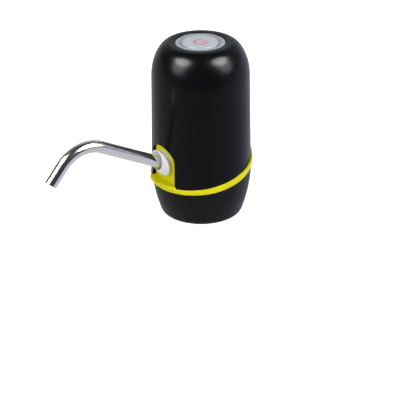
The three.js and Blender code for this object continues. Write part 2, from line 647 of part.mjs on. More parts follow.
// A broken ring with a bar in its gap, the usual sign for power.
function powerSymbol() {
  const gap = THREE.MathUtils.degToRad(38);
  const outer = SYMBOL_R + SYMBOL_STROKE / 2;
  const inner = SYMBOL_R - SYMBOL_STROKE / 2;
  const low = BUTTON_TOP_Z + 0.02;
  const arc = new THREE.Shape();
  arc.absarc(0, 0, outer, Math.PI / 2 + gap, Math.PI * 5 / 2 - gap, false);
  arc.absarc(0, 0, inner, Math.PI * 5 / 2 - gap, Math.PI / 2 + gap, true);
  const half = SYMBOL_STROKE / 2;
  const deep = { depth: 0.16, bevelEnabled: false, curveSegments: 20 };
  return [
    new THREE.ExtrudeGeometry(arc, deep).translate(0, 0, low),
    block([-half, 1, low], [half, outer, low + 0.16]),
  ];
}

add('housing', housing(), gloss_black);
add('base_skirt', skirt(), skirt_black);
add('trim_ring', trimRing(), yellow);
add('chassis_plate', chassis(), works_plastic);
BASE_SCREWS.forEach((place, i) =>
  add(`base_screw_${i + 1}`, screw(place, PLATE_TOP_Z + 0.1, 5.5, false), screw_steel));
add('neck_seal', turned(closedProfile([
  [19, 21], [26.6, 21], [26.9, 21.6], [26.9, 23.2], [18.6, 23.2], [18.6, 21.4],
]), FINE), silicone);
add('inlet_barb', inletBarb(), pump_plastic);
add('suction_hose', pipe(SUCTION_R + 0.15, 4.8, 28, 37.4), silicone);
add('pump_head', pumpHead(), pump_plastic);
add('valve_plate', valvePlate(), black_rubber);
add('diaphragm', diaphragm(), black_rubber);
add('pump_frame', pumpFrame(), pump_plastic);
PUMP_SCREWS.forEach((place, i) =>
  add(`pump_screw_${i + 1}`, screw(place, 39.2, 21, true), screw_steel));
add('motor_can', motorCan(), can_metal);
add('motor_end_bell', endBell(), works_plastic);
add('motor_magnet_1', magnet(1), magnet_grey);
add('motor_magnet_2', magnet(-1), magnet_grey);
add('motor_terminal_1', block([PUMP_X - 8, PUMP_Y - 1.4, 100.6],
  [PUMP_X - 7.4, PUMP_Y + 1.4, 105]), nickel);
add('motor_terminal_2', block([PUMP_X + 7.4, PUMP_Y - 1.4, 100.6],
  [PUMP_X + 8, PUMP_Y + 1.4, 105]), nickel);
add('motor_damper', at(pipe(MOTOR_R + 0.1, 13.3, 87, 95, FINE), PUMP_X, PUMP_Y), silicone);
add('motor_shaft', at(rod(1, 62.5, 96.4, SMALL), PUMP_X, PUMP_Y), steel);
add('motor_armature', at(turned(closedProfile([[1.02, 74], [6.5, 74], [8.6, 76], [8.6, 90],
  [5, 92], [1.02, 92]]), FINE), PUMP_X, PUMP_Y), copper);
add('eccentric_hub', eccentric(), pump_plastic);
add('wobble_plate', wobblePlate(), pump_plastic);
add('battery_cell', batteryCell(), cell_wrap);
add('battery_tray', batteryTray(), works_plastic);
add('battery_tab_top', at(block([-3.5, -9, 0], [3.5, 4, 0.3]), BATTERY_X, BATTERY_Y, 100), nickel);
add('battery_tab_bottom', at(block([-3.5, -4, 0], [3.5, 4, 0.3]), BATTERY_X, BATTERY_Y, 33.4), nickel);
add('brace_plate', bracePlate(), works_plastic);
PILLARS.forEach((place, i) =>
  add(`brace_screw_${i + 1}`, screw(place, BRACE_Z + BRACE_THICKNESS + 0.1, 8, false), screw_steel));
add('outlet_socket', outletSocket(), pump_plastic);
add('outlet_hose', outletHose(), silicone);
add('charge_board', block([-8, 29, 44], [8, 30.4, 64]), board_green);
add('charge_port', cut(toSolid(socketHole(9, 3.2, 36.3, 5.8)), toSolid(socketHole(8.2, 2.4, 40, 9))),
  nickel);
add('charge_tongue', block([-3.2, 31.1, SOCKET_Z - 0.35], [3.2, 35, SOCKET_Z + 0.35]), works_plastic);
add('switch_board', cut(toSolid(rod(23, BOARD_TOP_Z - BOARD_THICKNESS, BOARD_TOP_Z, FINE)),
  ...BOARD_POSTS.map(([x, y]) => toSolid(at(rod(1.3, 110, 130, 8), x, y)))), board_green);
BOARD_POSTS.forEach((place, i) => add(`board_screw_${i + 1}`,
  screw(place, BOARD_TOP_Z - BOARD_THICKNESS - 0.1, 6, true), screw_steel));
add('tact_switch', cut(toSolid(block([-3.1, -3.1, BOARD_TOP_Z + 0.1], [3.1, 3.1, 126.6])),
  toSolid(rod(1.95, 124.8, 130, SMALL))), works_plastic);
add('status_led', at(turned([[0, 123.4], [1.6, 123.4], [1.6, 124.6], [1, 125.6], [0, 126]], SMALL),
  9, 3), led_white);
add('button_sleeve', pipe(5.2, 6.4, BOARD_TOP_Z + 0.1, 132), silicone);
add('button_bezel', buttonBezel(), silver);
add('button_cap', buttonCap(), silver);
powerSymbol().forEach((shape, i) => add(['power_ring', 'power_bar'][i], shape, symbol_red));
add('switch_plunger', rod(1.7, 125.6, 128.2, SMALL), works_plastic);
add('spout_collar', spoutCollar(), milky);
add('collar_seal', alongSpout(pipe(STEM_GROOVE_R + 0.1, SOCKET_BORE_R - 0.1, -10.7, -9.3,
  FINE)), black_rubber);
add('spout_tube', swept(ringShape(TUBE_R, TUBE_BORE_R), spoutPath(), 30, 6), steel);
add('tube_seal', alongSpout(pipe(TUBE_R + 0.15, 6.1, -16.4, -15.3)), black_rubber);
add('motor_wire_1', wire([[-15.9, 4, 105.4], [-16, 4, 109], [-14, 0, 114], [-10, -6, 118],
  [-8, -10, 121.4]]), symbol_red);
add('motor_wire_2', wire([[-1.1, 4, 105.4], [-1, 4, 109], [0, 0, 114], [-2, -6, 118],
  [-3, -10, 121.4]]), gloss_black);
add('battery_wire_1', wire([[17.5, -2, 101], [17.5, -4, 106], [15, -6, 112], [12, -8, 117],
  [10, -9, 121.4]]), symbol_red);

export default pump;
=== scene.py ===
# Electric water jug pump: fine surfaces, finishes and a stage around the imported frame.
import json
import math
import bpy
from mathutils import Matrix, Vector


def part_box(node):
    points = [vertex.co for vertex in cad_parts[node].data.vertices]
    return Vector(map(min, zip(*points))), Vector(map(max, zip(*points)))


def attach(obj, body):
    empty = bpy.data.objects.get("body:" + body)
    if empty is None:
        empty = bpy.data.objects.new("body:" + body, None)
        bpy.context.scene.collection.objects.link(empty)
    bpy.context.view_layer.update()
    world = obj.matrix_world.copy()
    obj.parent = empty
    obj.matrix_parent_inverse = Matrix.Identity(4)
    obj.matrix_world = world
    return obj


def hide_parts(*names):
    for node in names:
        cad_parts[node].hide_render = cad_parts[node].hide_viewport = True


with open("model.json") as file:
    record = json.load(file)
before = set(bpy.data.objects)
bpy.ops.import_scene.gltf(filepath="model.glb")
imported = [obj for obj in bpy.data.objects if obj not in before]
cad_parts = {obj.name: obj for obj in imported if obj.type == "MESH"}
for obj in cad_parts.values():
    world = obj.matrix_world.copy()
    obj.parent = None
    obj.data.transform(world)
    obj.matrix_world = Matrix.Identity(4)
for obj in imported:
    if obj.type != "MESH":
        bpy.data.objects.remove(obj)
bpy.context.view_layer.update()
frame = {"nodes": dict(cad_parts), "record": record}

from types import SimpleNamespace

import bmesh
import bpy
import numpy as np
from bpy.props import FloatProperty, FloatVectorProperty, PointerProperty
from mathutils import Matrix

bl_info = {
    "name": "Water Jug Pump",
    "version": (1, 0, 0),
    "blender": (4, 5, 0),
    "location": "View3D > Sidebar > Jug Pump",
    "description": "Fine surfaces, finishes and a stage for an electric water jug pump",
    "category": "Add Mesh",
}

MM = 0.001
DOME_POWER = 1.85
RING_LOW = (33.7, -7.9, 1.5)
RING_TOP = (38.05, -8.55, 1.1)
LAMP_DISTANCE = 0.9
LAMP_TARGET = (0, 0, 0.07)


def lowest(node, axis=2):
    """A CAD node's lowest coordinate along an axis, in metres."""
    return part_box(node)[0][axis]


def highest(node, axis=2):
    """A CAD node's highest coordinate along an axis, in metres."""
    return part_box(node)[1][axis]


def length(name, description, metres):
    return FloatProperty(name=name, description=description, default=metres, min=0.0,
                         unit="LENGTH", precision=5)


def angle(name, description, degrees):
    return FloatProperty(name=name, description=description, default=math.radians(degrees),
                         subtype="ANGLE")


def colour(name, description, value):
    return FloatVectorProperty(name=name, description=description, default=value, size=3,
                               min=0.0, max=1.0, subtype="COLOR")


def level(name, description, value):
    return FloatProperty(name=name, description=description, default=value, min=0.0)


class ShellSizes(bpy.types.PropertyGroup):
    """Sizes of the housing, the skirt and the yellow trim."""

    height: length("Height", "Top of the housing", highest("housing"))
    body_radius: length("Body radius", "Radius at the seam", highest("base_skirt", 0))
    shoulder_height: length("Shoulder height", "Where the dome begins", 0.1095)
    shoulder_radius: length("Shoulder radius", "Radius where the dome begins", 0.03625)
    top_radius: length("Top radius", "Radius of the flat on top of the dome", 0.0231)
    foot_height: length("Foot height", "Where the draft of the wall begins", 0.0365)
    wall: length("Wall", "Thickness of the housing's wall", 0.0021)
    edge: length("Edge", "Radius of the rounding of the housing's edges", 0.0002)
    inner_radius: length("Inner radius", "Inside of the housing round the spout panel", 0.0351)
    recess_radius: length("Recess radius", "Opening in the top for the bezel", 0.0185)
    recess_floor: length("Recess floor", "Height of the bezel's seat", 0.1323)
    arch_half: length("Arch half width", "Half width of the cut-out for the spout", 0.014)
    arch_spring: length("Arch spring", "Height where the arch's curve begins", 0.0495)
    arch_rise: length("Arch rise", "Rise of the arch above its spring", 0.0119)
    seam_height: length("Seam height", "Height of the tilted seam at the axis", 0.0362)
    seam_rise: length("Seam rise", "Rise of the seam from the axis to the wall", 0.00815)
    seam_gap: length("Seam gap", "Half the gap between the housing and the skirt", 0.0005)
    frame_radius: length("Frame radius", "How deep the housing's edge reaches in the arch", 0.0332)
    panel_radius: length("Panel radius", "Radius of the yellow panel", 0.033)
    ring_radius: length("Ring radius", "Outside of the yellow ring", highest("trim_ring", 0))


class SkirtSizes(bpy.types.PropertyGroup):
    """Sizes of the black skirt round the bottle's neck."""

    rim_radius: length("Rim radius", "Outer radius of the flat rim", 0.0287)
    neck_radius: length("Neck radius", "Radius of the opening for the neck", 0.0275)
    fillet: length("Fillet", "Radius of the rounding above the rim", 0.0055)
    wall: length("Wall", "Thickness of the skirt's wall", 0.0024)
    top: length("Top", "Height where the skirt reaches its full radius", 0.0335)
    fillet_start: angle("Fillet start", "Slope of the fillet at the rim", 60.6)
    flare: angle("Flare", "Lean of the wall above the fillet", 19.3)


class SpoutSizes(bpy.types.PropertyGroup):
    """Sizes of the steel spout and its collar."""

    tube_radius: length("Tube radius", "Outside of the tube", highest("spout_tube", 0))
    tube_bore: length("Tube bore", "Inside of the tube", 0.0041)
    root_forward: length("Root forward", "Distance of the root from the pump's axis", 0.0348)
    root_height: length("Root height", "Height of the root", 0.0466)
    insert: length("Insert", "Length of the tube inside the socket", 0.0165)
    rise: length("Rise", "Straight length from the root to the bend", 0.0594)
    bend: length("Bend", "Radius of the bend", 0.0273)
    drop: length("Drop", "Straight length after the bend", 0.0158)
    bulb_forward: length("Bulb forward", "Distance of the bulb's base from the pump's axis", 0.034)
    bulb_height: length("Bulb height", "Height of the middle of the bulb's base", 0.04814)
    bulb_base: length("Bulb base", "Radius of the bulb's base", 0.0082)
    bulb_front: length("Bulb front", "Radius of the bulb's flat front", 0.0048)
    bulb_bow: length("Bulb bow", "How far the bulb swells between base and front", 0.0039)
    bulb_length: length("Bulb length", "Length of the bulb from base to front", 0.0072)
    dish: length("Dish", "How far in front of the root the dish's floor lies", 0.00225)
    stem: length("Stem", "Outside of the collar's stem behind the panel", 0.0064)
    collar_bore: length("Collar bore", "Hole in the collar", 0.00495)
    tilt: angle("Tilt", "Slope of the tube before the bend", 27.5)
    fall: angle("Fall", "Slope of the tube after the bend", 48.4)
    droop: angle("Droop", "Fall of the bulb's own axis towards its front", 13.1)


class ButtonSizes(bpy.types.PropertyGroup):
    """Sizes of the button in the top."""

    bezel_radius: length("Bezel radius", "Outside of the bezel", highest("button_bezel", 0))
    bezel_top: length("Bezel top", "Height of the bezel", highest("button_bezel"))
    bezel_hole: length("Bezel hole", "Hole for the button", 0.0135)
    button_radius: length("Button radius", "Outside of the button", 0.0132)
    button_top: length("Button top", "Height of the button", highest("button_cap"))
    symbol_radius: length("Symbol radius", "Middle radius of the power symbol", 0.00475)
    symbol_stroke: length("Symbol stroke", "Width of the power symbol's line", 0.0011)


class Finishes(bpy.types.PropertyGroup):
    """Colours of the materials."""

    housing: colour("Housing", "Glossy black of the housing", (0.0021, 0.0021, 0.0032))
    skirt: colour("Skirt", "Satin black of the skirt", (0.004, 0.0038, 0.0045))
    trim: colour("Trim", "Yellow of the ring and the panel", (0.60, 0.56, 0.001))
    silver: colour("Silver", "Lacquer of the bezel and the button", (0.44, 0.475, 0.515))
    steel: colour("Steel", "Stainless steel of the spout", (0.80, 0.79, 0.77))
    collar: colour("Collar", "White plastic of the collar", (0.60, 0.59, 0.61))
    symbol: colour("Symbol", "Ink of the power symbol", (0.50, 0.06, 0.13))
    silicone: colour("Silicone", "Seals and hoses", (0.70, 0.72, 0.72))


class StageSettings(bpy.types.PropertyGroup):
    """Camera, lamps and floor."""

    azimuth: angle("Azimuth", "Camera's place round the pump, from the spout", 54.4)
    camera_height: length("Camera height", "Height of the camera", 0.5391)
    camera_distance: length("Camera distance", "Level distance of the camera from the axis", 1.075)
    target_height: length("Target height", "Height on the axis that the camera looks at", 0.0059)
    roll: angle("Roll", "Turn of the camera about its own line of sight", 0.484)
    lens: level("Lens", "Focal length in millimetres", 141.67)
    shift: FloatProperty(name="Shift", description="Sideways shift of the frame", default=-0.0041)
    left: level("Left lamp", "Power of the lamp on the spout's side in watts", 4.6)
    right: level("Right lamp", "Power of the lamp on the right in watts", 4.6)
    sheen: level("Sheen", "Power of each high lamp that only reflections see", 19.0)
    low_sheen: level("Low sheen", "Power of each low lamp that only reflections see", 5.5)
    sky: level("Sky", "Strength of the world as a light", 0.55)
    table: level("Table", "Brightness that a reflection sees below the horizon", 0.68)
    ceiling: level("Ceiling", "Brightness that a reflection sees above the horizon", 0.04)
    backdrop: level("Backdrop", "Brightness of the wall behind the pump in a reflection", 0.42)
    window: level("Window", "Brightness that a reflection sees on the right", 0.3)
    floor: colour("Floor", "Colour of the floor", (0.93, 0.93, 0.94))


def millimetres(group):
    """A group's lengths in millimetres, by name."""
    lengths = [p.identifier for p in group.bl_rna.properties if getattr(p, "unit", "") == "LENGTH"]
    return SimpleNamespace(**{name: getattr(group, name) / MM for name in lengths})


def rounded(corners, radii, closed=False, steps=5):
    """A path of [across, up] points whose corners are arcs.

    An arc of radius q in a corner with half angle h touches both sides q / tan(h) from the corner,
    and its centre lies on the bisector, q / sin(h) away. Corners with radius 0 stay sharp."""
    corners = np.asarray(corners, float)
    count = len(corners)
    path = []
    for i, (corner, radius) in enumerate(zip(corners, radii)):
        if radius == 0 or (not closed and i in (0, count - 1)):
            path.append(corner[None])
            continue
        back = corners[i - 1] - corner
        ahead = corners[(i + 1) % count] - corner
        back, ahead = back / np.linalg.norm(back), ahead / np.linalg.norm(ahead)
        half = math.acos(np.clip(back @ ahead, -1, 1)) / 2
        bisector = (back + ahead) / np.linalg.norm(back + ahead)
        centre = corner + bisector * radius / math.sin(half)
        ends = [corner + side * radius / math.tan(half) - centre for side in (back, ahead)]
        start, stop = (math.atan2(end[1], end[0]) for end in ends)
        sweep = (stop - start + math.pi) % (2 * math.pi) - math.pi
        turn = start + sweep * np.linspace(0, 1, steps)
        path.append(centre + radius * np.stack([np.cos(turn), np.sin(turn)], -1))
    return np.concatenate(path)


def circle(count):
    """Even angles round one turn."""
    return np.arange(count) * 2 * math.pi / count


def turned(profile, segments=144):
    """A profile of [radius, height] turned about Z: (r cos a, r sin a, z) for each azimuth a."""
    around = circle(segments)
    radius, height = np.asarray(profile, float).T
    return np.stack([np.outer(radius, np.cos(around)), np.outer(radius, np.sin(around)),
                     np.repeat(height[:, None], segments, 1)], -1)


def dense(profile, step=1.0):
    """A profile whose long straight runs hold a point about every step."""
    profile = np.asarray(profile, float)
    runs = np.linalg.norm(np.diff(profile, axis=0), axis=1)
    along = np.concatenate([[0], np.cumsum(runs)])
    extra = [np.linspace(a, b, max(1, int((b - a) / step)), endpoint=False)
             for a, b in zip(along[:-1], along[1:])]
    places = np.append(np.concatenate(extra), along[-1])
    return np.stack([np.interp(places, along, profile[:, k]) for k in (0, 1)], -1)


def patch(points, loop=False, keep=None):
    """Vertices, quads and UVs of a grid (rows, columns, 3) whose columns close on themselves.

    Quad (i, j) joins rows i and i + 1 and columns j and j + 1. The UV is the column's share of a turn
    and the length along the rows. keep is a mask of the quads that stay."""
    rows, columns = points.shape[:2]
    across = np.arange(columns)
    beside = (across + 1) % columns
    down = np.arange(rows if loop else rows - 1)
    below = (down + 1) % rows
    corner = [down[:, None] * columns + across, below[:, None] * columns + across,
              below[:, None] * columns + beside, down[:, None] * columns + beside]
    quads = np.stack(corner, -1)
    steps = np.linalg.norm(np.roll(points, -1, 0) - points, axis=-1).mean(1)
    along = np.concatenate([[0], np.cumsum(steps)]) * MM
    ones = np.ones((len(down), columns))
    u = [across / columns * ones, across / columns * ones, (across + 1) / columns * ones,
         (across + 1) / columns * ones]
    v = [along[down][:, None] * ones, along[down + 1][:, None] * ones,
         along[down + 1][:, None] * ones, along[down][:, None] * ones]
    uvs = np.stack([np.stack(u, -1), np.stack(v, -1)], -1)
    if keep is None:
        keep = np.ones((len(down), columns), bool)
    return points.reshape(-1, 3), quads[keep], uvs[keep]


def weld(mesh, distance, outward):
    """Merges doubles, drops faces without area and, if asked, turns the faces outward."""
    work = bmesh.new()
    work.from_mesh(mesh)
    bmesh.ops.remove_doubles(work, verts=work.verts, dist=distance)
    bmesh.ops.dissolve_degenerate(work, edges=work.edges, dist=1e-7)
    if outward:
        bmesh.ops.recalc_face_normals(work, faces=work.faces)
    work.to_mesh(mesh)
    work.free()


def add_object(name, data):
    made = bpy.data.objects.new(name, data)
    bpy.context.scene.collection.objects.link(made)
    return made


def piece(name, patches, material, body="root", closed=True, turn_over=False, sharp=None):
    """An object made of patches in millimetres, with doubles merged and its faces pointing out."""
    places, quads, uvs, start = [], [], [], 0
    for points, faces, coordinates in patches:
        places.append(points * MM)
        quads.append(faces + start)
        uvs.append(coordinates)
        start += len(points)
    faces = np.concatenate(quads)
    coordinates = np.concatenate(uvs)
    if turn_over:
        faces, coordinates = faces[:, ::-1], coordinates[:, ::-1]
    mesh = bpy.data.meshes.new(name)
    mesh.from_pydata(np.concatenate(places).tolist(), [], faces.tolist())
    layer = mesh.uv_layers.new(name="surface")
    layer.data.foreach_set("uv", coordinates.astype(np.float32).ravel())
    weld(mesh, 2e-6, closed)
    mesh.shade_smooth()
    if sharp is not None:
        mesh.set_sharp_from_angle(angle=math.radians(sharp))
    mesh.materials.append(material)
    made = add_object(name, mesh)
    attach(made, body)
    return made


def body_radius(size, height):
    """The housing's outer radius: a drafted wall, then a dome with ((r - t) / (s - t))^n + h^n = 1."""
    drafted = np.interp(height, [size.foot_height, size.shoulder_height],
                        [size.body_radius, size.shoulder_radius])
    share = np.clip((height - size.shoulder_height) / (size.height - size.shoulder_height), 0, 1)
    curve = (1 - share ** DOME_POWER) ** (1 / DOME_POWER)
    dome = size.top_radius + (size.shoulder_radius - size.top_radius) * curve
    return np.where(height > size.shoulder_height, dome, drafted)


def dome_profile(size, inset, count):
    """Points of the dome from the flat top down to the shoulder, at even turns of its curve."""
    turn = np.linspace(math.pi / 2, 0, count)
    power = 2 / DOME_POWER
    radius = size.top_radius + (size.shoulder_radius - inset - size.top_radius) * np.cos(turn) ** power
    height = size.shoulder_height + (size.height - inset - size.shoulder_height) * np.sin(turn) ** power
    return np.stack([radius, height], -1)


def seam_at(size, azimuth, side):
    """Height of the tilted seam at an azimuth from the spout; side is +1 above its gap and -1 below."""
    return size.seam_height + side * size.seam_gap - size.seam_rise * np.cos(azimuth)


def on_wall(azimuth, radius, height):
    """Points at an azimuth from the spout, counted from -Y towards +X."""
    azimuth, radius, height = np.broadcast_arrays(azimuth, radius, height)
    return np.stack([radius * np.sin(azimuth), -radius * np.cos(azimuth), height], -1)


def lower_edge(size, offset):
    """Azimuth and height along the housing's lower edge, grown by offset into the wall.

    It runs over the arch from its crown, down the jamb and along the seam to the rear, then back."""
    over, jamb, seam = 44, 26, 112
    half, spring, rise = size.arch_half + offset, size.arch_spring, size.arch_rise + offset
    turn = np.linspace(math.pi / 2, 0, over, endpoint=False)
    corner = math.asin(half / size.body_radius)
    foot = seam_at(size, corner, 1) + offset
    x = np.concatenate([half * np.cos(turn), np.full(jamb, half)])
    z = np.concatenate([spring + rise * np.sin(turn), np.linspace(spring, foot, jamb)])
    azimuth = np.arcsin(x / body_radius(size, z))
    rear = np.linspace(azimuth[-1], math.pi, seam + 1)[1:]
    azimuth = np.concatenate([azimuth, rear])
    z = np.concatenate([z, seam_at(size, rear, 1) + offset])
    in_arch = np.arange(len(azimuth)) < over + jamb
    mirrored = slice(-2, 0, -1)
    return (np.concatenate([azimuth, -azimuth[mirrored]]), np.concatenate([z, z[mirrored]]),
            np.concatenate([in_arch, in_arch[mirrored]]))


def stadium(turn, half_length, half_height):
    """Where a ray at each angle from the middle meets a slot with round ends."""
    centre = half_length - half_height
    sine, cosine = np.sin(turn), np.cos(turn)
    flat = half_height / np.maximum(np.abs(sine), 1e-9)
    end = centre * np.abs(cosine) + np.sqrt(np.maximum(half_height ** 2 - (centre * sine) ** 2, 0))
    reach = np.where(flat * np.abs(cosine) <= centre, flat, end)
    return reach * cosine, reach * sine


def edge_row(size, offset, share):
    """The lower edge at a share of its depth: along Y to the frame's radius in the arch, and towards
    the axis through the wall at the seam."""
    azimuth, height, in_arch = lower_edge(size, offset)
    radius = body_radius(size, height)
    outside = on_wall(azimuth, radius, height)
    radial = on_wall(azimuth, radius - share * (size.body_radius - size.inner_radius), height)
    inner_y = -np.sqrt(np.maximum(size.frame_radius ** 2 - outside[:, 0] ** 2, 0))
    straight = outside.copy()
    straight[:, 1] += share * (inner_y - outside[:, 1])
    return np.where(in_arch[:, None], straight, radial)


def port_window(grid, first, last, port_height, turn_rows):
    """The quads of a grid round the charging slot: (top row, bottom row) and the loop round them."""
    middle, half_columns, half_rows = grid.shape[1] // 2, 9, 5
    left, right = middle - half_columns, middle + half_columns
    nearest = first + int(np.argmin(np.abs(grid[first:last, middle, 2] - port_height)))
    top, bottom = nearest - turn_rows * half_rows, nearest + turn_rows * half_rows
    down = np.arange(top, bottom, turn_rows)
    up = np.arange(bottom, top, -turn_rows)
    loop_rows = np.concatenate([np.full(2 * half_columns, top), down,
                                np.full(2 * half_columns, bottom), up])
    loop_columns = np.concatenate([np.arange(left, right), np.full(len(down), right),
                                   np.arange(right, left, -1), np.full(len(up), left)])
    return slice(min(top, bottom), max(top, bottom)), slice(left, right), grid[loop_rows, loop_columns]


def make_housing(size, material):
    """The housing as one closed grid: recess, dome, wall, arch and seam edge, and the inside back up.

    Rows above ring_height are level circles. Below it they share azimuth and height evenly between the
    circle and the lower edge, with every point on the wall's own radius."""
    ring_height, inner_ring, runs, well, port_height = 68.0, 66.0, 24, 17.6, 54.0
    azimuth, height, _ = lower_edge(size, size.edge)
    path = on_wall(azimuth, size.body_radius, height)
    steps = np.linalg.norm(np.roll(path, -1, 0) - path, axis=-1)
    around = np.concatenate([[0], np.cumsum(steps)[:-1]]) / steps.sum() * 2 * math.pi
    around = np.where(around > math.pi + 1e-6, around - 2 * math.pi, around)
    shares = np.linspace(0, 1, runs + 1)[1:, None]

    floor, mouth = size.recess_floor, size.recess_radius
    top = rounded([[well, floor - 2], [well, floor], [mouth, floor], [mouth, size.height],
                   [size.top_radius, size.height]], [0, 0.2, 0.2, 0.5, 0])
    levels = np.linspace(size.shoulder_height, ring_height, 26)[1:]
    wall = np.stack([body_radius(size, levels), levels], -1)
    outer = np.concatenate([top, dome_profile(size, 0, 46)[1:], wall])
    rows = [on_wall(around, r, z) for r, z in outer]
    first = len(rows)
    down = (1 - shares) * ring_height + shares * height
    rows += list(on_wall((1 - shares) * around + shares * azimuth, body_radius(size, down), down))
    last = len(rows)
    rounding = size.edge / (size.body_radius - size.inner_radius)
    for bend in np.linspace(0, math.pi / 2, 6)[1:]:
        rows.append(edge_row(size, size.edge * (1 - math.sin(bend)), rounding * (1 - math.cos(bend))))
    rows += [edge_row(size, 0, share) for share in np.linspace(rounding, 1, 6)[1:]]
    inner_first = len(rows)
    inner_edge = rows[-1]
    inner_azimuth = np.arctan2(inner_edge[:, 0], -inner_edge[:, 1])
    inner_azimuth = np.where(around >= math.pi - 1e-6, math.pi, inner_azimuth)
    up = shares * inner_ring + (1 - shares) * inner_edge[:, 2]
    rows += list(on_wall(shares * around + (1 - shares) * inner_azimuth, size.inner_radius, up))
    inner_last = len(rows)
    rows += [on_wall(around, r, z) for r, z in dome_profile(size, size.wall, 20)[::-1][:-1]]
    grid = np.stack(rows)

    keep = np.ones(grid.shape[:2], bool)
    outside_rows, columns, outside = port_window(grid, first, last, port_height, 1)
    keep[outside_rows, columns] = False
    inside_rows, columns, inside = port_window(grid, inner_first, inner_last, port_height, -1)
    keep[inside_rows, columns] = False
    port = port_sleeve(size, outside, inside, port_height)
    return piece("housing_shell", [patch(grid, loop=True, keep=keep), patch(port)], material, sharp=50)


def port_sleeve(size, outside, inside, port_height):
    """Rows from the window outside to the charging slot, through the wall, and to the window inside."""
    half_length, half_height, edge = 4.9, 2.0, 0.35
    turn = np.arctan2(outside[:, 2] - port_height, outside[:, 0])

    def slot_row(grow, depth):
        x, z = stadium(turn, half_length + grow, half_height + grow)
        z = z + port_height
        return np.stack([x, np.sqrt(body_radius(size, z) ** 2 - x ** 2) - depth, z], -1)

    def between(start, end, radius_of, count):
        share = np.linspace(0, 1, count)[:, None]
        x = (1 - share) * start[:, 0] + share * end[:, 0]
        z = (1 - share) * start[:, 2] + share * end[:, 2]
        return np.stack([x, np.sqrt(radius_of(z) ** 2 - x ** 2), z], -1)

    rows = list(between(outside, slot_row(edge, 0), lambda z: body_radius(size, z), 7))
    for bend in np.linspace(0, math.pi / 2, 5)[1:]:
        rows.append(slot_row(edge * (1 - math.sin(bend)), edge * (1 - math.cos(bend))))
    back = slot_row(0, 0)
    back[:, 1] = np.sqrt(size.inner_radius ** 2 - back[:, 0] ** 2)
    rows += list(between(back, inside, lambda z: np.full_like(z, size.inner_radius), 5))
    return np.stack(rows)


def make_skirt(size, skirt, fillet_start, flare, material):
    """The skirt: a rim fillet tangent to a wall whose slope eases off, cut by the tilted seam."""
    centre = [skirt.rim_radius - skirt.fillet * math.cos(fillet_start),
              skirt.fillet * math.sin(fillet_start)]
    turn = np.linspace(fillet_start, flare, 12)
    arc = np.stack([centre[0] + skirt.fillet * np.cos(turn), centre[1] - skirt.fillet * np.sin(turn)], -1)
    start_radius, start_height = arc[-1]
    reach = skirt.top - start_height
    first_slope = math.tan(flare)
    last_slope = 2 * (size.body_radius - start_radius) / reach - first_slope
    around = circle(256)
    edge, foot_edge = 0.3, 0.3
    ledge, ledge_top, ledge_foot = 28.4, 23.2, 19.0

    def radius(height):
        share = np.clip((height - start_height) / reach, 0, 1)
        curve = first_slope * share + (last_slope - first_slope) * share ** 2 / 2
        return start_radius + reach * curve

    rows = [on_wall(around, r, z) for r, z in [[skirt.neck_radius, foot_edge],
                                                [skirt.neck_radius + foot_edge, 0]]]
    rows += [on_wall(around, r, z) for r, z in arc]
    top = seam_at(size, around, -1)
    for share in np.linspace(0, 1, 40)[1:]:
        height = start_height + share * (top - edge - start_height)
        rows.append(on_wall(around, radius(height), height))
    for bend in np.linspace(0, math.pi / 2, 4)[1:]:
        rows.append(on_wall(around, radius(top) - edge * (1 - math.cos(bend)),
                            top - edge * (1 - math.sin(bend))))
    rows.append(on_wall(around, radius(top) - skirt.wall, top))
    for share in np.linspace(0, 1, 14)[1:]:
        height = top + share * (ledge_top - top)
        rows.append(on_wall(around, radius(height) - skirt.wall, height))
    inside = rounded([[radius(ledge_top) - skirt.wall, ledge_top], [ledge, ledge_top], [ledge, ledge_foot],
                      [radius(17.0) - skirt.wall, 16.8], [radius(10.0) - skirt.wall, 10],
                      [radius(6.5) - skirt.wall, 6.5], [skirt.neck_radius, 3.0],
                      [skirt.neck_radius, foot_edge]],
                     [0, 0.4, 0.4, 0.6, 0, 1.0, 0.4, 0])
    rows += [on_wall(around, r, z) for r, z in dense(inside, 1.5)[1:-1]]
    return piece("skirt_shell", [patch(np.stack(rows), loop=True)], material, sharp=50)


def band_edge(edge, azimuth):
    """Height of an edge of the yellow ring: a mean and two harmonics of the azimuth from the spout."""
    mean, once, twice = edge
    return mean + once * np.cos(azimuth) + twice * np.cos(2 * azimuth)


def make_ring(size, material):
    """The yellow ring between the housing and the skirt, with the lip that lies in their seam.

    At h below the skirt's top, its outside is drawn in by 0.0566 h + 0.0048 h^2 like the skirt."""
    around = circle(320)
    low, high = band_edge(RING_LOW, around), band_edge(RING_TOP, around)
    seam = seam_at(size, around, 0)
    skirt_top, lean, curl = 33.5, 0.0566, 0.0048
    inner, outer, lip, half_lip, soft = size.body_radius + 0.12, size.ring_radius, 34.9, 0.4, 0.4
    section = [(outer - soft + soft * math.sin(b), high - soft + soft * math.cos(b))
               for b in np.linspace(0, math.pi / 2, 6)]
    section += [(outer, low + (high - low) * share) for share in (0.7, 0.5, 0.3)]
    section += [(outer - soft + soft * math.cos(b), low + soft - soft * math.sin(b))
                for b in np.linspace(0, math.pi / 2, 6)]
    section += [(inner, low), (inner, seam - half_lip), (lip, seam - half_lip), (lip, seam + half_lip),
                (inner, seam + half_lip), (inner, high)]
    rows = []
    for radius, height in section:
        below = np.maximum(skirt_top - height, 0)
        drawn_in = (radius > size.body_radius + 0.2) * (lean * below + curl * below ** 2)
        rows.append(on_wall(around, radius - drawn_in, height))
    return piece("yellow_ring", [patch(np.stack(rows), loop=True)], material, sharp=40)


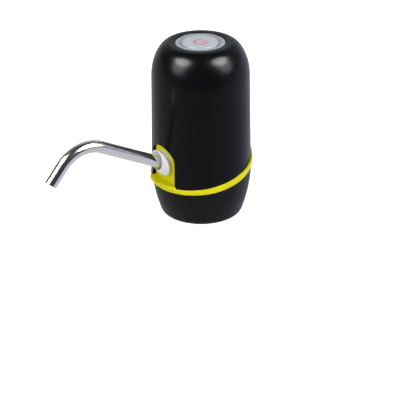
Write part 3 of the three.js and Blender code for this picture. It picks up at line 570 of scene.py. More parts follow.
def spout_axis(spout, tilt, places):
    """Turns points made about Z so that Z is the spout's root line, and moves them to its root."""
    x, y, z = np.moveaxis(places, -1, 0)
    c, s = math.cos(tilt), math.sin(tilt)
    return np.stack([x, -spout.root_forward - s * y - c * z, spout.root_height - c * y + s * z], -1)


def arch_reach(turn, centre_height, half, spring, rise, foot):
    """Distance from a point on the arch's axis to its outline: sides, elliptic top and level foot."""
    sine, cosine = np.sin(turn), np.cos(turn)
    side = half / np.maximum(np.abs(cosine), 1e-9)
    lift = centre_height - spring
    a = (cosine / half) ** 2 + (sine / rise) ** 2
    b = lift * sine / rise ** 2
    c = (lift / rise) ** 2 - 1
    over = (-b + np.sqrt(np.maximum(b * b - a * c, 0))) / a
    reach = np.where(centre_height + side * sine > spring, over, side)
    below = (foot - centre_height) / np.minimum(sine, -1e-9)
    return np.where(sine < 0, np.minimum(reach, below), reach)


def make_panel(size, spout, tilt, material):
    """The yellow panel in the arch: a sheet in (x, w), laid on the panel's cylinder above and turned
    out through a cove on to the sill below, with a raised strip along the arch and the collar's hole."""
    cove, sill_lift, strip, strip_lift, lip, columns = 0.9, 0.04, 2.4, 0.28, 0.35, 360
    turn = circle(columns)
    hole = spout.stem + 0.25
    c, s = math.cos(tilt), math.sin(tilt)
    x = hole * np.cos(turn)
    forward = -np.sqrt(size.panel_radius ** 2 - x ** 2) + spout.root_forward
    w = spout.root_height + (hole * np.sin(turn) - forward * s) / c
    foot = size.seam_height - size.seam_rise - 5.0
    middle = w.mean()
    reach = arch_reach(turn, middle, size.arch_half + 0.9, size.arch_spring, size.arch_rise + 0.9, foot)
    edge_x, edge_w = reach * np.cos(turn), middle + reach * np.sin(turn)

    def ease(value, low, high):
        return np.clip((value - low) / (high - low), 0, 1)

    def lay(x, w):
        azimuth = np.arcsin(np.clip(x / size.panel_radius, -1, 1))
        sill = band_edge(RING_TOP, azimuth) + sill_lift
        roll = np.clip((sill + cove - w) / cove, 0, math.pi / 2)
        beyond = np.maximum(sill + cove - cove * math.pi / 2 - w, 0)
        behind = ease(np.abs(x), size.arch_half - 0.1, size.arch_half + 0.1)
        outside = size.ring_radius - 0.35 + behind * (size.inner_radius + 0.7 - size.ring_radius)
        out = np.minimum(beyond, outside - size.panel_radius - cove)
        fall = np.maximum(beyond - out, 0)
        to_edge = arch_reach(np.arctan2(w - middle, x), middle, size.arch_half, size.arch_spring,
                             size.arch_rise, -1e3) - np.hypot(x, w - middle)
        raised = ease(to_edge, 0.05, 0.3) * (1 - ease(to_edge, strip - 0.35, strip))
        radius = size.panel_radius + cove * (1 - np.cos(roll)) + out + strip_lift * raised
        height = np.maximum(w, sill + cove - cove * np.sin(roll)) - np.minimum(fall, 1.2)
        return np.stack([x, -np.sqrt(radius ** 2 - x ** 2), height], -1)

    rows = []
    for bend in np.linspace(math.pi / 2, 0, 5)[:-1]:
        ring = lay(x, w)
        ring[:, 1] += lip * (1 - math.cos(bend))
        scale = 1 + lip * (1 - math.sin(bend)) / hole
        ring[:, 0] *= scale
        ring[:, 2] = middle + (ring[:, 2] - middle) * scale
        rows.append(ring)
    start = 1 + lip / hole
    for share in np.concatenate([np.linspace(0, 0.5, 16), np.linspace(0.5, 1, 70)[1:]]):
        rows.append(lay((1 - share) * x * start + share * edge_x,
                        (1 - share) * (middle + (w - middle) * start) + share * edge_w))
    made = piece("spout_panel", [patch(np.stack(rows))], material, closed=False, turn_over=True, sharp=60)
    thick = made.modifiers.new("thickness", "SOLIDIFY")
    thick.thickness = 1.3 * MM
    thick.offset = -1
    return made


def make_button(button, finish, ink):
    """The bezel, the button and the sign on it, each turned from a rounded section."""
    seat, top, foot, inside, outside = 132.4, button.bezel_top, 129.6, 15.2, 17.3
    hole, outer = button.bezel_hole, button.bezel_radius
    section = [[hole, seat], [inside, seat], [inside, foot], [outside, foot], [outside, seat],
               [outer, seat], [outer, top], [outer - 1.1, top], [hole, top - 1.25]]
    radii = [0.1, 0, 0.1, 0.1, 0, 0.1, 0.3, 0.2, 0.1]
    bezel = piece("bezel", [patch(turned(dense(rounded(section, radii, closed=True), 1.0)), loop=True)],
                  finish, sharp=40)
    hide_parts("button_bezel")
    radius, crown = button.button_radius, button.button_top
    rim, dish, under = 0.75, 0.22, 132.1
    plunger, plunger_foot = 3.4, 128.3
    hollow, flange, flange_foot = 11.6, 14.6, 131.4
    cap = [[0, plunger_foot], [plunger, plunger_foot], [plunger, under], [hollow, under],
           [hollow, flange_foot], [flange, flange_foot], [flange, under], [radius, under],
           [radius, crown], [radius - rim, crown], [radius - rim - 0.25, crown - dish], [0, crown - dish]]
    radii = [0, 0.2, 0, 0, 0.1, 0.1, 0.1, 0, 0.3, 0.12, 0.12, 0]
    face = piece("button_face", [patch(turned(dense(rounded(cap, radii), 0.8)))], finish, "button", sharp=40)
    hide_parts("button_cap")
    make_symbol(button, crown - dish, ink)


def make_symbol(button, floor, ink):
    """The sign for power: a broken ring and a bar with round ends, each a low rounded ridge.

    The ridge's half width at height h is (stroke / 2) (1 - (h / rise)^4)^(1/4)."""
    rise, sink, gap, half = 0.2, 0.03, math.radians(38), button.symbol_stroke / 2
    fall = np.linspace(math.pi / 2, 0, 7)
    lift, narrow = rise * np.sin(fall) ** 0.5, half * np.cos(fall) ** 0.5

    def ridge(name, node, spine, normals):
        """A closed outline at each level: one side of the spine, a round end, and back."""
        turn = np.linspace(0, math.pi, 9)[1:-1]
        rows = []
        for width, height in zip(narrow, lift):
            ahead = np.array([normals[-1][1], -normals[-1][0]])
            back = np.array([-normals[0][1], normals[0][0]])
            end = spine[-1] + width * (np.cos(turn)[:, None] * normals[-1] + np.sin(turn)[:, None] * ahead)
            start = spine[0] + width * (-np.cos(turn)[:, None] * normals[0] + np.sin(turn)[:, None] * back)
            outline = np.concatenate([spine + width * normals, end, (spine - width * normals)[::-1], start])
            rows.append(np.column_stack([outline, np.full(len(outline), floor + height)]))
        base = rows[-1].copy()
        base[:, 2] = floor - sink
        middle = np.concatenate([spine, np.repeat(spine[-1:], 7, 0), spine[::-1], np.repeat(spine[:1], 7, 0)])
        under = np.column_stack([middle, np.full(len(middle), floor - sink)])
        made = piece(name, [patch(np.stack(rows + [base, under]))], ink, "button", sharp=60)
        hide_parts(node)

    turn = np.linspace(math.pi / 2 + gap, 5 * math.pi / 2 - gap, 64)
    outward = np.stack([np.cos(turn), np.sin(turn)], -1)
    ridge("sign_ring", "power_ring", button.symbol_radius * outward, outward)
    bar = np.stack([np.zeros(8), np.linspace(1.6, button.symbol_radius, 8)], -1)
    ridge("sign_bar", "power_bar", bar, np.tile([-1.0, 0.0], (8, 1)))


def make_collar(spout, tilt, droop, panel_radius, material):
    """The collar: a bulb turned about its own drooping axis, with a dish, a stem and a bore along the tube.

    Seen from the point where the two axes cross, the bulb's outline is a polar curve, so every
    direction meets it once. The columns are azimuths about the tube's line. The dish is a cone
    whose height grows by 3 times its radius; averaging neighbouring rows rounds its rim."""
    tube = np.array([0, -math.cos(tilt), math.sin(tilt)])
    axis = np.array([0, -math.cos(droop), -math.sin(droop)])
    base = np.array([0, -spout.bulb_forward, spout.bulb_height])
    root = np.array([0, -spout.root_forward, spout.root_height])
    depth, ahead = np.linalg.solve(np.stack([axis[1:], -tube[1:]], 1), (root - base)[1:])
    share = np.linspace(0, 1, 40)
    swell = (spout.bulb_base + (spout.bulb_front - spout.bulb_base) * share
             + spout.bulb_bow * np.sin(math.pi * share))
    outline = np.stack([spout.bulb_length * share, swell], -1)
    outline = rounded([[-4, spout.bulb_base], *outline, [spout.bulb_length, 0]], [0] * 40 + [1.5, 0])
    angles = np.arctan2(outline[:, 1], outline[:, 0] - depth)[::-1]
    reaches = np.hypot(outline[:, 0] - depth, outline[:, 1])[::-1]
    around = circle(128)
    side = spout_axis(spout, tilt, np.stack([np.cos(around), np.sin(around), np.zeros(128)], -1)) - root

    def seen(turn):
        """Where the rays at a turn from the tube's line leave the bulb, and their length."""
        ray = np.cos(turn)[:, None] * tube + np.sin(turn)[:, None] * side
        reach = np.interp(np.arccos(np.clip(ray @ axis, -1, 1)), angles, reaches)
        return root + ahead * tube + reach[:, None] * ray, reach

    def last(holds, low, high):
        """The largest value in each column at which a condition still holds."""
        low, high = np.broadcast_to(low, 128).astype(float), np.full(128, high)
        for _ in range(40):
            middle = (low + high) / 2
            within = holds(middle)
            low, high = np.where(within, middle, low), np.where(within, high, middle)
        return low

    def turn_of(radius, along):
        return np.arctan2(radius, along - ahead)

    def in_bulb(radius, along):
        return np.hypot(radius, along - ahead) < seen(turn_of(radius, along))[1]

    lip, steep, seat, bore, stem = 0.3, 3.0, panel_radius + 0.25, spout.collar_bore, spout.stem
    mouth = last(lambda turn: seen(turn)[1] * np.sin(turn) < bore + lip, 0.1, 1.4)
    foot = last(lambda turn: np.hypot(*seen(turn)[0][:, :2].T) > seat, 0.8, 3.0)
    opening = np.minimum(ahead + seen(mouth)[1] * np.cos(mouth), spout.dish)
    wide = last(lambda radius: in_bulb(radius, opening + steep * (radius - bore - lip)), bore + lip, 14.0)
    rim = turn_of(wide, opening + steep * (wide - bore - lip))
    x = stem * np.cos(around)
    shoulder = (np.sqrt(seat ** 2 - x ** 2) - spout.root_forward
                - stem * np.sin(around) * math.sin(tilt)) / math.cos(tilt)

    def level(radius, along):
        across = radius * np.stack([np.cos(around), np.sin(around)])
        return spout_axis(spout, tilt, np.stack([*across, np.broadcast_to(along, 128)], -1))

    rows = [level(bore + lip + part * (wide - bore - lip), opening + steep * part * (wide - bore - lip))
            for part in np.linspace(0, 1, 16)[:-1]]
    rows += [seen(rim + part * (foot - rim))[0] for part in np.linspace(0, 1, 50)]
    for _ in range(6):
        rows[1:-1] = [(before + 2 * row + after) / 4
                      for before, row, after in zip(rows[:-2], rows[1:-1], rows[2:])]
    rows += [level(stem, shoulder + part * (-8.7 - shoulder)) for part in np.linspace(0, 1, 6)]
    groove = stem - 0.8
    rows += [level(r, z) for r, z in [[stem, -9.1], [groove, -9.1], [groove, -10.9], [stem, -10.9],
                                      [stem, -14.7], [stem - 0.3, -15], [bore, -15]]]
    rows += [level(bore, -15 + part * (opening - lip + 15)) for part in np.linspace(0, 1, 12)[1:]]
    for bend in np.linspace(math.pi / 2, 0, 5)[1:-1]:
        rows.append(level(bore + lip * (1 - math.sin(bend)), opening - lip * (1 - math.cos(bend))))
    made = piece("collar", [patch(np.stack(rows), loop=True)], material, "spout_sleeve", sharp=45)
    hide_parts("spout_collar")


def spout_line(spout, tilt, fall):
    """Centre points and directions of the tube: straight, one arc of the bend's radius, straight."""

    def forward(slope):
        return np.array([0.0, -math.cos(slope), math.sin(slope)])

    def upward(slope):
        return np.array([0.0, math.sin(slope), math.cos(slope)])

    root = np.array([0.0, -spout.root_forward, spout.root_height])
    start, bend_start = root - spout.insert * forward(tilt), root + spout.rise * forward(tilt)
    centre = bend_start - spout.bend * upward(tilt)
    slopes = np.linspace(tilt, -fall, 60)
    bend = np.array([centre + spout.bend * upward(slope) for slope in slopes])
    lead = start + np.linspace(0, 1, 50, endpoint=False)[:, None] * (bend_start - start)
    tip = bend[-1] + np.linspace(0, 1, 14)[1:, None] * spout.drop * forward(-fall)
    line = np.concatenate([lead, bend, tip])
    slope = np.concatenate([np.full(50, tilt), slopes, np.full(13, -fall)])
    return line, np.array([forward(v) for v in slope]), np.array([upward(v) for v in slope])


def make_tube(spout, tilt, fall, steel):
    """The steel tube: a circle carried along the spout's line, outside and bore, with rolled lips."""
    line, ahead, up = spout_line(spout, tilt, fall)
    outer, bore = spout.tube_radius, spout.tube_bore
    lip = (outer - bore) / 2
    bend = np.linspace(0, math.pi, 7)
    around = circle(64)
    side = np.array([1.0, 0.0, 0.0])

    def ring(i, radius, along):
        across = np.cos(around)[:, None] * up[i] + np.sin(around)[:, None] * side
        return line[i] + along * ahead[i] + radius * across

    rows = [ring(i, outer, 0) for i in range(len(line) - 1)]
    rows += [ring(-1, bore + lip + lip * math.cos(b), lip * (math.sin(b) - 1)) for b in bend]
    rows += [ring(i, bore, 0) for i in range(len(line) - 2, 0, -1)]
    rows += [ring(0, bore + lip - lip * math.cos(b), lip * (1 - math.sin(b))) for b in bend]
    made = piece("steel_spout", [patch(np.stack(rows), loop=True)], steel, "spout", sharp=60)
    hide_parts("spout_tube")


def make_base(silicone, plastic):
    """The seal that the neck's rim meets, and the barb for the suction hose, seen from below."""
    low, high = lowest("neck_seal") / MM, highest("neck_seal") / MM
    inner, outer = 18.6, 26.9
    seal = [[inner + 0.4, low], [outer - 0.3, low], [outer, low + 0.6], [outer, high], [inner, high],
            [inner, low + 0.4]]
    seal = dense(rounded(seal, [0.3, 0.3, 0, 0.1, 0.1, 0], closed=True), 1.2)
    made = piece("seal_ring", [patch(turned(seal), loop=True)], silicone, sharp=50)
    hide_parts("neck_seal")
    bore, foot, top = 2.2, lowest("inlet_barb") / MM, highest("inlet_barb") / MM
    section = [[bore, foot], [2.9, foot]]
    for height in (9, 12, 15):
        section += [[3.0, height], [4.0, height + 2.6], [3.2, height + 2.6]]
    section += [[4.4, 18.6], [4.4, 25.9], [6.7, 25.9], [6.7, 27.5], [3.2, 27.5], [3.2, top], [bore, top]]
    radii = [0.2, 0.2] + [0, 0.25, 0] * 3 + [0.3, 0, 0.1, 0.1, 0, 0.2, 0.2]
    section = dense(rounded(section, radii, closed=True), 1.0)
    made = piece("barb", [patch(turned(section, 72), loop=True)], plastic, sharp=50)
    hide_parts("inlet_barb")


def add_node(tree, kind, settings=None, inputs=None, **named):
    """A node with its settings as attributes. An input, by name or place, is a value or a link."""
    node = tree.nodes.new(kind)
    for key, value in (settings or {}).items():
        setattr(node, key, value)
    fill(tree, node, inputs or {})
    fill(tree, node, named)
    return node


def fill(tree, node, inputs):
    """Sets or links a node's inputs; an underscore in a name stands for a space."""
    for key, value in inputs.items():
        socket = node.inputs[key.replace("_", " ") if isinstance(key, str) else key]
        if isinstance(value, bpy.types.NodeSocket):
            tree.links.new(value, socket)
        else:
            socket.default_value = value


def shader_group(name, inputs, outputs):
    """A new node group with float, colour or vector sockets, its inputs and its output node."""
    kinds = {"float": "NodeSocketFloat", "colour": "NodeSocketColor", "vector": "NodeSocketVector"}
    group = bpy.data.node_groups.new(name, "ShaderNodeTree")
    for label, kind, value in inputs:
        socket = group.interface.new_socket(label, in_out="INPUT", socket_type=kinds[kind])
        if value is not None:
            socket.default_value = value
    for label, kind in outputs:
        group.interface.new_socket(label, in_out="OUTPUT", socket_type=kinds[kind])
    return group, group.nodes.new("NodeGroupInput").outputs, group.nodes.new("NodeGroupOutput")


def use_group(tree, group, **values):
    return add_node(tree, "ShaderNodeGroup", {"node_tree": group}, values)


def maths(tree, operation, *terms, clamp=False):
    """One sum on values or links."""
    settings = {"operation": operation, "use_clamp": clamp}
    return add_node(tree, "ShaderNodeMath", settings, dict(enumerate(terms))).outputs[0]


def blend(tree, share, first, second):
    """A colour between two others."""
    return add_node(tree, "ShaderNodeMix", {"data_type": "RGBA"},
                    {0: share, 6: first, 7: second}).outputs[2]


def stepped(tree, value, start, full, low, high, **settings):
    """A value mapped from start..full to low..high and kept there."""
    ends = {"Value": value, "From Min": start, "From Max": full, "To Min": low, "To Max": high}
    return add_node(tree, "ShaderNodeMapRange", settings, ends).outputs["Result"]


def moulded_group():
    """Moulded plastic: a fine grain and a slow waviness as a normal, and a roughness that drifts."""
    group, given, out = shader_group(
        "moulded plastic",
        [("Roughness", "float", 0.3), ("Spread", "float", 0.05), ("Grain", "float", 0.1),
         ("Grain per metre", "float", 4000.0), ("Wave", "float", 0.05)],
        [("Roughness", "float"), ("Normal", "vector")])
    place = add_node(group, "ShaderNodeTexCoord").outputs["Object"]

    def noise(**values):
        return add_node(group, "ShaderNodeTexNoise", Vector=place, **values).outputs["Fac"]

    slow = add_node(group, "ShaderNodeBump", Distance=0.0004, Strength=given["Wave"],
                    Height=noise(Scale=90.0, Detail=1.0))
    fine = add_node(group, "ShaderNodeBump", Distance=0.00005, Strength=given["Grain"],
                    Height=noise(Scale=given["Grain per metre"], Detail=3.0),
                    Normal=slow.outputs["Normal"])
    drift = maths(group, "SUBTRACT", noise(Scale=140.0, Detail=6.0, Roughness=0.7), 0.5)
    rough = maths(group, "MULTIPLY_ADD", drift, given["Spread"], given["Roughness"])
    fill(group, out, {"Roughness": rough, "Normal": fine.outputs["Normal"]})


def tone_group():
    """A colour that drifts a little over the surface, with sparse light specks of dust."""
    group, given, out = shader_group(
        "uneven tone",
        [("Colour", "colour", None), ("Other", "colour", None), ("Drift", "float", 0.5),
         ("Dust", "colour", (0.35, 0.34, 0.33, 1)), ("Dust amount", "float", 0.0)],
        [("Colour", "colour")])
    place = add_node(group, "ShaderNodeTexCoord").outputs["Object"]
    cloud = add_node(group, "ShaderNodeTexNoise", Vector=place, Scale=60.0, Detail=5.0, Roughness=0.6)
    share = maths(group, "MULTIPLY", cloud.outputs["Fac"], given["Drift"], clamp=True)
    specks = add_node(group, "ShaderNodeTexVoronoi", Vector=place, Scale=900.0)
    dot = stepped(group, specks.outputs["Distance"], 0.05, 0.0, 0.0, 1.0, clamp=True)
    sparse = maths(group, "MULTIPLY", dot, given["Dust amount"], clamp=True)
    mixed = blend(group, share, given["Colour"], given["Other"])
    fill(group, out, {"Colour": blend(group, sparse, mixed, given["Dust"])})


def drawn_group():
    """Drawn or spun metal: fine streaks along the UV's second axis, or round the first where turned."""
    group, given, out = shader_group(
        "drawn metal",
        [("Roughness", "float", 0.15), ("Spread", "float", 0.1), ("Depth", "float", 0.1),
         ("Across", "float", 400.0), ("Along", "float", 20.0)],
        [("Roughness", "float"), ("Normal", "vector"), ("Streak", "float")])
    uv = add_node(group, "ShaderNodeUVMap", {"uv_map": "surface"}).outputs[0]
    parts = add_node(group, "ShaderNodeSeparateXYZ", inputs={0: uv}).outputs
    turn = maths(group, "MULTIPLY", parts["X"], 2 * math.pi)
    ends = [maths(group, "MULTIPLY", maths(group, "COSINE", turn), given["Across"]),
            maths(group, "MULTIPLY", maths(group, "SINE", turn), given["Across"]),
            maths(group, "MULTIPLY", parts["Y"], given["Along"])]
    joined = add_node(group, "ShaderNodeCombineXYZ", inputs=dict(zip("XYZ", ends))).outputs[0]
    streak = add_node(group, "ShaderNodeTexNoise", Vector=joined, Scale=1.0, Detail=4.0,
                      Roughness=0.6).outputs["Fac"]
    bump = add_node(group, "ShaderNodeBump", Distance=0.00003, Height=streak, Strength=given["Depth"])
    rough = maths(group, "MULTIPLY_ADD", streak, given["Spread"], given["Roughness"])
    fill(group, out, {"Roughness": rough, "Normal": bump.outputs["Normal"], "Streak": streak})


def groove_shade_group():
    """A mask that is one between two distances from the object's Z axis, with soft borders; it marks where
    the bezel's groove gets painted shade.
    """
    group, given, out = shader_group(
        "round groove shade", [("Inner", "float", 0.01315), ("Outer", "float", 0.017),
                         ("Border", "float", 0.0003)],
        [("Mask", "float")])
    place = add_node(group, "ShaderNodeTexCoord").outputs["Object"]
    flat = add_node(group, "ShaderNodeVectorMath", {"operation": "MULTIPLY"}, {0: place, 1: (1, 1, 0)})
    reach = add_node(group, "ShaderNodeVectorMath", {"operation": "LENGTH"},
                     {0: flat.outputs[0]}).outputs["Value"]
    sides = []
    for first, second in ((reach, given["Inner"]), (given["Outer"], reach)):
        away = maths(group, "SUBTRACT", first, second)
        sides.append(maths(group, "DIVIDE", away, given["Border"], clamp=True))
    fill(group, out, {"Mask": maths(group, "MULTIPLY", *sides)})
    return group


def principled(name, sockets):
    """A material with one Principled BSDF, whose uniform values are set on its own sockets."""
    material = bpy.data.materials.new(name)
    material.use_nodes = True
    shader = material.node_tree.nodes["Principled BSDF"]
    fill(material.node_tree, shader, sockets)
    return material, material.node_tree, shader


def plastic(name, value, other, roughness, spread, grain, wave, drift=0.6, dust=0.0, grain_size=4000.0,
            **sockets):
    """Moulded plastic or rubber: an uneven tone over a grained surface."""
    material, tree, shader = principled(name, sockets)
    tone = use_group(tree, bpy.data.node_groups["uneven tone"], Colour=(*value, 1), Other=(*other, 1),
                     Drift=drift, Dust_amount=dust)
    skin = use_group(tree, bpy.data.node_groups["moulded plastic"], Roughness=roughness, Spread=spread,
                     Grain=grain, Wave=wave, Grain_per_metre=grain_size)
    fill(tree, shader, {"Base Color": tone.outputs["Colour"], "Roughness": skin.outputs["Roughness"],
                        "Normal": skin.outputs["Normal"]})
    return material


def metal(name, value, dark, roughness, spread, depth, across, along, **sockets):
    """Drawn or spun metal whose streaks tint the colour a little."""
    material, tree, shader = principled(name, sockets)
    streaks = use_group(tree, bpy.data.node_groups["drawn metal"], Roughness=roughness, Spread=spread,
                        Depth=depth, Across=across, Along=along).outputs
    tint = blend(tree, streaks["Streak"], (*dark, 1), (*value, 1))
    fill(tree, shader, {"Base Color": tint, "Roughness": streaks["Roughness"],
                        "Normal": streaks["Normal"]})
    return material


def paint_groove_shade(material, dark):
    """Darkens a finish inside the bezel's groove: painted shade that stands in for the groove's shadow, not a
    colour of the lacquer.
    """
    tree = material.node_tree
    shader = tree.nodes["Principled BSDF"]
    tone = shader.inputs["Base Color"].links[0].from_socket
    groove = use_group(tree, groove_shade_group()).outputs["Mask"]
    # painted shade: the lacquer is blended towards the darker colour inside the groove's ring
    fill(tree, shader, {"Base Color": blend(tree, groove, tone, (*dark, 1))})
    return material


def scaled(value, factor):
    return tuple(min(1.0, channel * factor) for channel in value)


def make_materials(colours):
    """Every finish, by the record's slot name."""
    moulded_group()
    tone_group()
    drawn_group()
    c = colours
    return {
        "gloss_black": plastic("glossy black plastic", c.housing, scaled(c.housing, 1.5), 0.24, 0.05,
                               0.02, 0.03, dust=0.1, Specular_IOR_Level=0.12),
        "skirt_black": plastic("satin black plastic", c.skirt, scaled(c.skirt, 1.3), 0.38, 0.08, 0.12,
                               0.02, dust=0.1, Specular_IOR_Level=0.12),
        "yellow": plastic("yellow plastic", c.trim, scaled(c.trim, 0.94), 0.28, 0.06, 0.05, 0.02,
                          Specular_IOR_Level=0.12, Subsurface_Weight=0.1, Subsurface_Scale=0.0008),
        "silver": plastic("silver lacquer", c.silver, scaled(c.silver, 0.93), 0.33, 0.08, 0.08, 0.0,
                          grain_size=9000.0, Metallic=0.15),
        # The bezel's finish carries painted shade: its groove is darkened to 0.62 of the silver.
        "bezel": paint_groove_shade(plastic("silver lacquer with painted groove shade", c.silver, scaled(c.silver, 0.93), 0.33,
                                 0.08, 0.08, 0.0, grain_size=9000.0,
                                 Metallic=0.15, Specular_IOR_Level=0.3),
                         scaled(c.silver, 0.62)),
        "steel": metal("drawn stainless steel", c.steel, scaled(c.steel, 0.9), 0.1, 0.08, 0.12,
                       60.0, 30.0, Metallic=1.0),
        "milky": plastic("white plastic", c.collar, scaled(c.collar, 0.96), 0.3, 0.08, 0.05, 0.02,
                         Specular_IOR_Level=0.25, Subsurface_Weight=0.25, Subsurface_Scale=0.0015),
        "symbol_red": plastic("printed ink", c.symbol, scaled(c.symbol, 0.9), 0.45, 0.1, 0.2, 0.0),
        "silicone": plastic("milky silicone", c.silicone, scaled(c.silicone, 0.92), 0.5, 0.1, 0.15,
                            0.02, Subsurface_Weight=0.4, Subsurface_Scale=0.002),
        "black_rubber": plastic("black rubber", (0.012, 0.012, 0.012), (0.02, 0.02, 0.02), 0.7, 0.15,
                                0.3, 0.0),
        "works_plastic": plastic("dark grey plastic", (0.045, 0.047, 0.052), (0.06, 0.06, 0.066), 0.5,
                                 0.1, 0.25, 0.02),
        "pump_plastic": plastic("off-white plastic", (0.76, 0.75, 0.70), (0.7, 0.69, 0.63), 0.42, 0.1,
                                0.15, 0.02),
        "can_metal": plastic("zinc-plated can", (0.45, 0.46, 0.47), (0.36, 0.37, 0.38), 0.28, 0.12,
                             0.1, 0.03, Metallic=1.0),
        "copper": plastic("enamelled copper", (0.48, 0.19, 0.05), (0.36, 0.12, 0.03), 0.3, 0.15, 0.6,
                          0.1, grain_size=1800.0, Metallic=0.9),
        "magnet_grey": plastic("sintered ferrite", (0.08, 0.08, 0.09), (0.05, 0.05, 0.055), 0.65, 0.15,
                               0.4, 0.0),
        "cell_wrap": plastic("blue shrink sleeve", (0.03, 0.21, 0.48), (0.025, 0.18, 0.42), 0.3, 0.1,
                             0.08, 0.15),
        "nickel": plastic("nickel plate", (0.55, 0.54, 0.48), (0.47, 0.46, 0.41), 0.25, 0.12, 0.08,
                          0.02, Metallic=1.0),
        "board_green": plastic("solder mask", (0.012, 0.14, 0.045), (0.01, 0.11, 0.036), 0.35, 0.1,
                               0.2, 0.02),
        "screw_steel": plastic("zinc-plated steel", (0.42, 0.42, 0.42), (0.34, 0.34, 0.35), 0.3, 0.15,
                               0.15, 0.0, Metallic=1.0),
        "led_white": plastic("milky epoxy", (0.88, 0.88, 0.86), (0.82, 0.82, 0.8), 0.2, 0.08, 0.03,
                             0.0, Subsurface_Weight=0.4, Subsurface_Scale=0.001),
        "wire_red": plastic("red wire sleeve", (0.5, 0.02, 0.02), (0.42, 0.015, 0.015), 0.4, 0.1, 0.1,
                            0.05),
        "wire_black": plastic("black wire sleeve", (0.01, 0.01, 0.01), (0.016, 0.016, 0.016), 0.4, 0.1,
                              0.1, 0.05),
    }


def paint_frame(finishes):
    """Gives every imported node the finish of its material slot."""
    for part in frame["record"]["subparts"]:
        node = frame["nodes"][part["node"]]
        node.data.materials.clear()
        node.data.materials.append(finishes[part["material_slot"]])


def plain_floor(value):
    """A pale floor lit by the lamps, which glows a little so that it stays white far behind the pump."""
    material, tree, shader = principled("pale floor", {"Roughness": 0.8, "Specular IOR Level": 0.1,
                                                       "Emission Color": (1, 1, 1, 1)})
    tone = use_group(tree, bpy.data.node_groups["uneven tone"], Colour=(*value, 1),
                     Other=(*scaled(value, 0.995), 1), Drift=0.5)
    path = add_node(tree, "ShaderNodeLightPath")
    glow = maths(tree, "MULTIPLY", path.outputs["Is Camera Ray"], 0.6)
    fill(tree, shader, {"Base Color": tone.outputs["Colour"], "Emission Strength": glow})
    return material


def make_world(azimuth, sky, table, ceiling, backdrop, window):
    """White for the camera and clear materials, a plain level as a light, and for reflections a
    pale table below a dark room, with a dim wall behind the pump and a bluish window to its right.
    The table's border is level to the sides and climbs away from the camera."""
    world = bpy.data.worlds.new("studio")
    bpy.context.scene.world = world
    world.use_nodes = True
    tree = world.node_tree
    ray = add_node(tree, "ShaderNodeLightPath").outputs
    place = add_node(tree, "ShaderNodeTexCoord").outputs["Generated"]

    def rise(direction, start, full, low, high):
        """A smooth step of brightness along one direction of the reflection."""
        along = add_node(tree, "ShaderNodeVectorMath", {"operation": "DOT_PRODUCT"},
                         {0: place, 1: direction})
        return stepped(tree, along.outputs["Value"], start, full, low, high,
                       interpolation_type="SMOOTHSTEP")

    sine, cosine = math.sin(azimuth), math.cos(azimuth)
    horizon = rise((0.35 * sine, -0.35 * cosine, 1), -0.14, 0.1, table, ceiling)
    wall = maths(tree, "MULTIPLY", rise((-sine, cosine, 0), 0.3, 0.7, 0, backdrop),
                 rise((0, 0, 1), 0.2, 0.4, 0, 1))
    turn = azimuth + math.radians(25)
    beside = (math.cos(turn), math.sin(turn), 0)
    room = maths(tree, "ADD", maths(tree, "ADD", horizon, wall), rise(beside, 0.5, 1.0, 0, window))
    mirrored = add_node(tree, "ShaderNodeMix", inputs={0: ray["Is Glossy Ray"], 2: sky, 3: room})
    bluish = maths(tree, "MULTIPLY", rise(beside, 0.2, 0.8, 0, 1), ray["Is Glossy Ray"])
    clear = maths(tree, "ADD", ray["Is Camera Ray"], ray["Is Transmission Ray"], clamp=True)
    total = add_node(tree, "ShaderNodeMix", inputs={0: clear, 2: mirrored.outputs[0], 3: 1.0})
    fill(tree, tree.nodes["Background"], {"Color": blend(tree, bluish, (1, 1, 1, 1), (0.86, 0.86, 1.1, 1)),
                                          "Strength": total.outputs[0]})


def aim(place, target):
    """A matrix at place whose -Z looks at target, with +Z of the world up."""
    place, target = np.array(place, float), np.array(target, float)
    back = (place - target) / np.linalg.norm(place - target)
    right = np.cross([0, 0, 1], back)
    right /= np.linalg.norm(right)
    up = np.cross(back, right)
    matrix = Matrix.Identity(4)
    for column, axis in enumerate((right, up, back, place)):
        for row in range(3):
            matrix[row][column] = axis[row]
    return matrix


def lamp(name, azimuth, elevation, width, height, power, mirrored):
    """A soft lamp round the middle of the body: one that lights it, or one only mirrored in it."""
    data = bpy.data.lights.new(name, "AREA")
    data.shape, data.size, data.size_y, data.energy = "ELLIPSE", width, height, power
    a, e = math.radians(azimuth), math.radians(elevation)
    away = np.array([math.sin(a) * math.cos(e), -math.cos(a) * math.cos(e), math.sin(e)])
    made = add_object(name, data)
    made.matrix_world = aim(LAMP_TARGET + LAMP_DISTANCE * away, LAMP_TARGET)
    made.visible_diffuse, made.visible_glossy = not mirrored, mirrored


def make_camera(stage):
    """The photograph's view: aimed at the axis, turned a little about its line of sight."""
    data = bpy.data.cameras.new("camera")
    data.lens, data.sensor_width, data.shift_x = stage.lens, 36, stage.shift
    data.clip_start, data.clip_end = 0.01, 50
    place = [stage.camera_distance * math.sin(stage.azimuth),
             -stage.camera_distance * math.cos(stage.azimuth), stage.camera_height]
    made = add_object("camera", data)
    made.matrix_world = aim(place, [0, 0, stage.target_height]) @ Matrix.Rotation(-stage.roll, 4, "Z")
    bpy.context.scene.camera = made


def make_floor(value):
    """A level disc whose rim lies far from the pump."""
    radius = np.concatenate([[0], np.geomspace(50, 6000, 24)])
    disc = np.stack([radius, np.zeros_like(radius)], -1)
    points, faces, _ = patch(turned(disc, 96))
    mesh = bpy.data.meshes.new("floor")
    mesh.from_pydata((points * MM).tolist(), [], faces[:, ::-1].tolist())
    weld(mesh, 1e-6, False)
    mesh.materials.append(plain_floor(value))
    floor = add_object("floor", mesh)
    floor.visible_glossy = False


FINISHES = {}


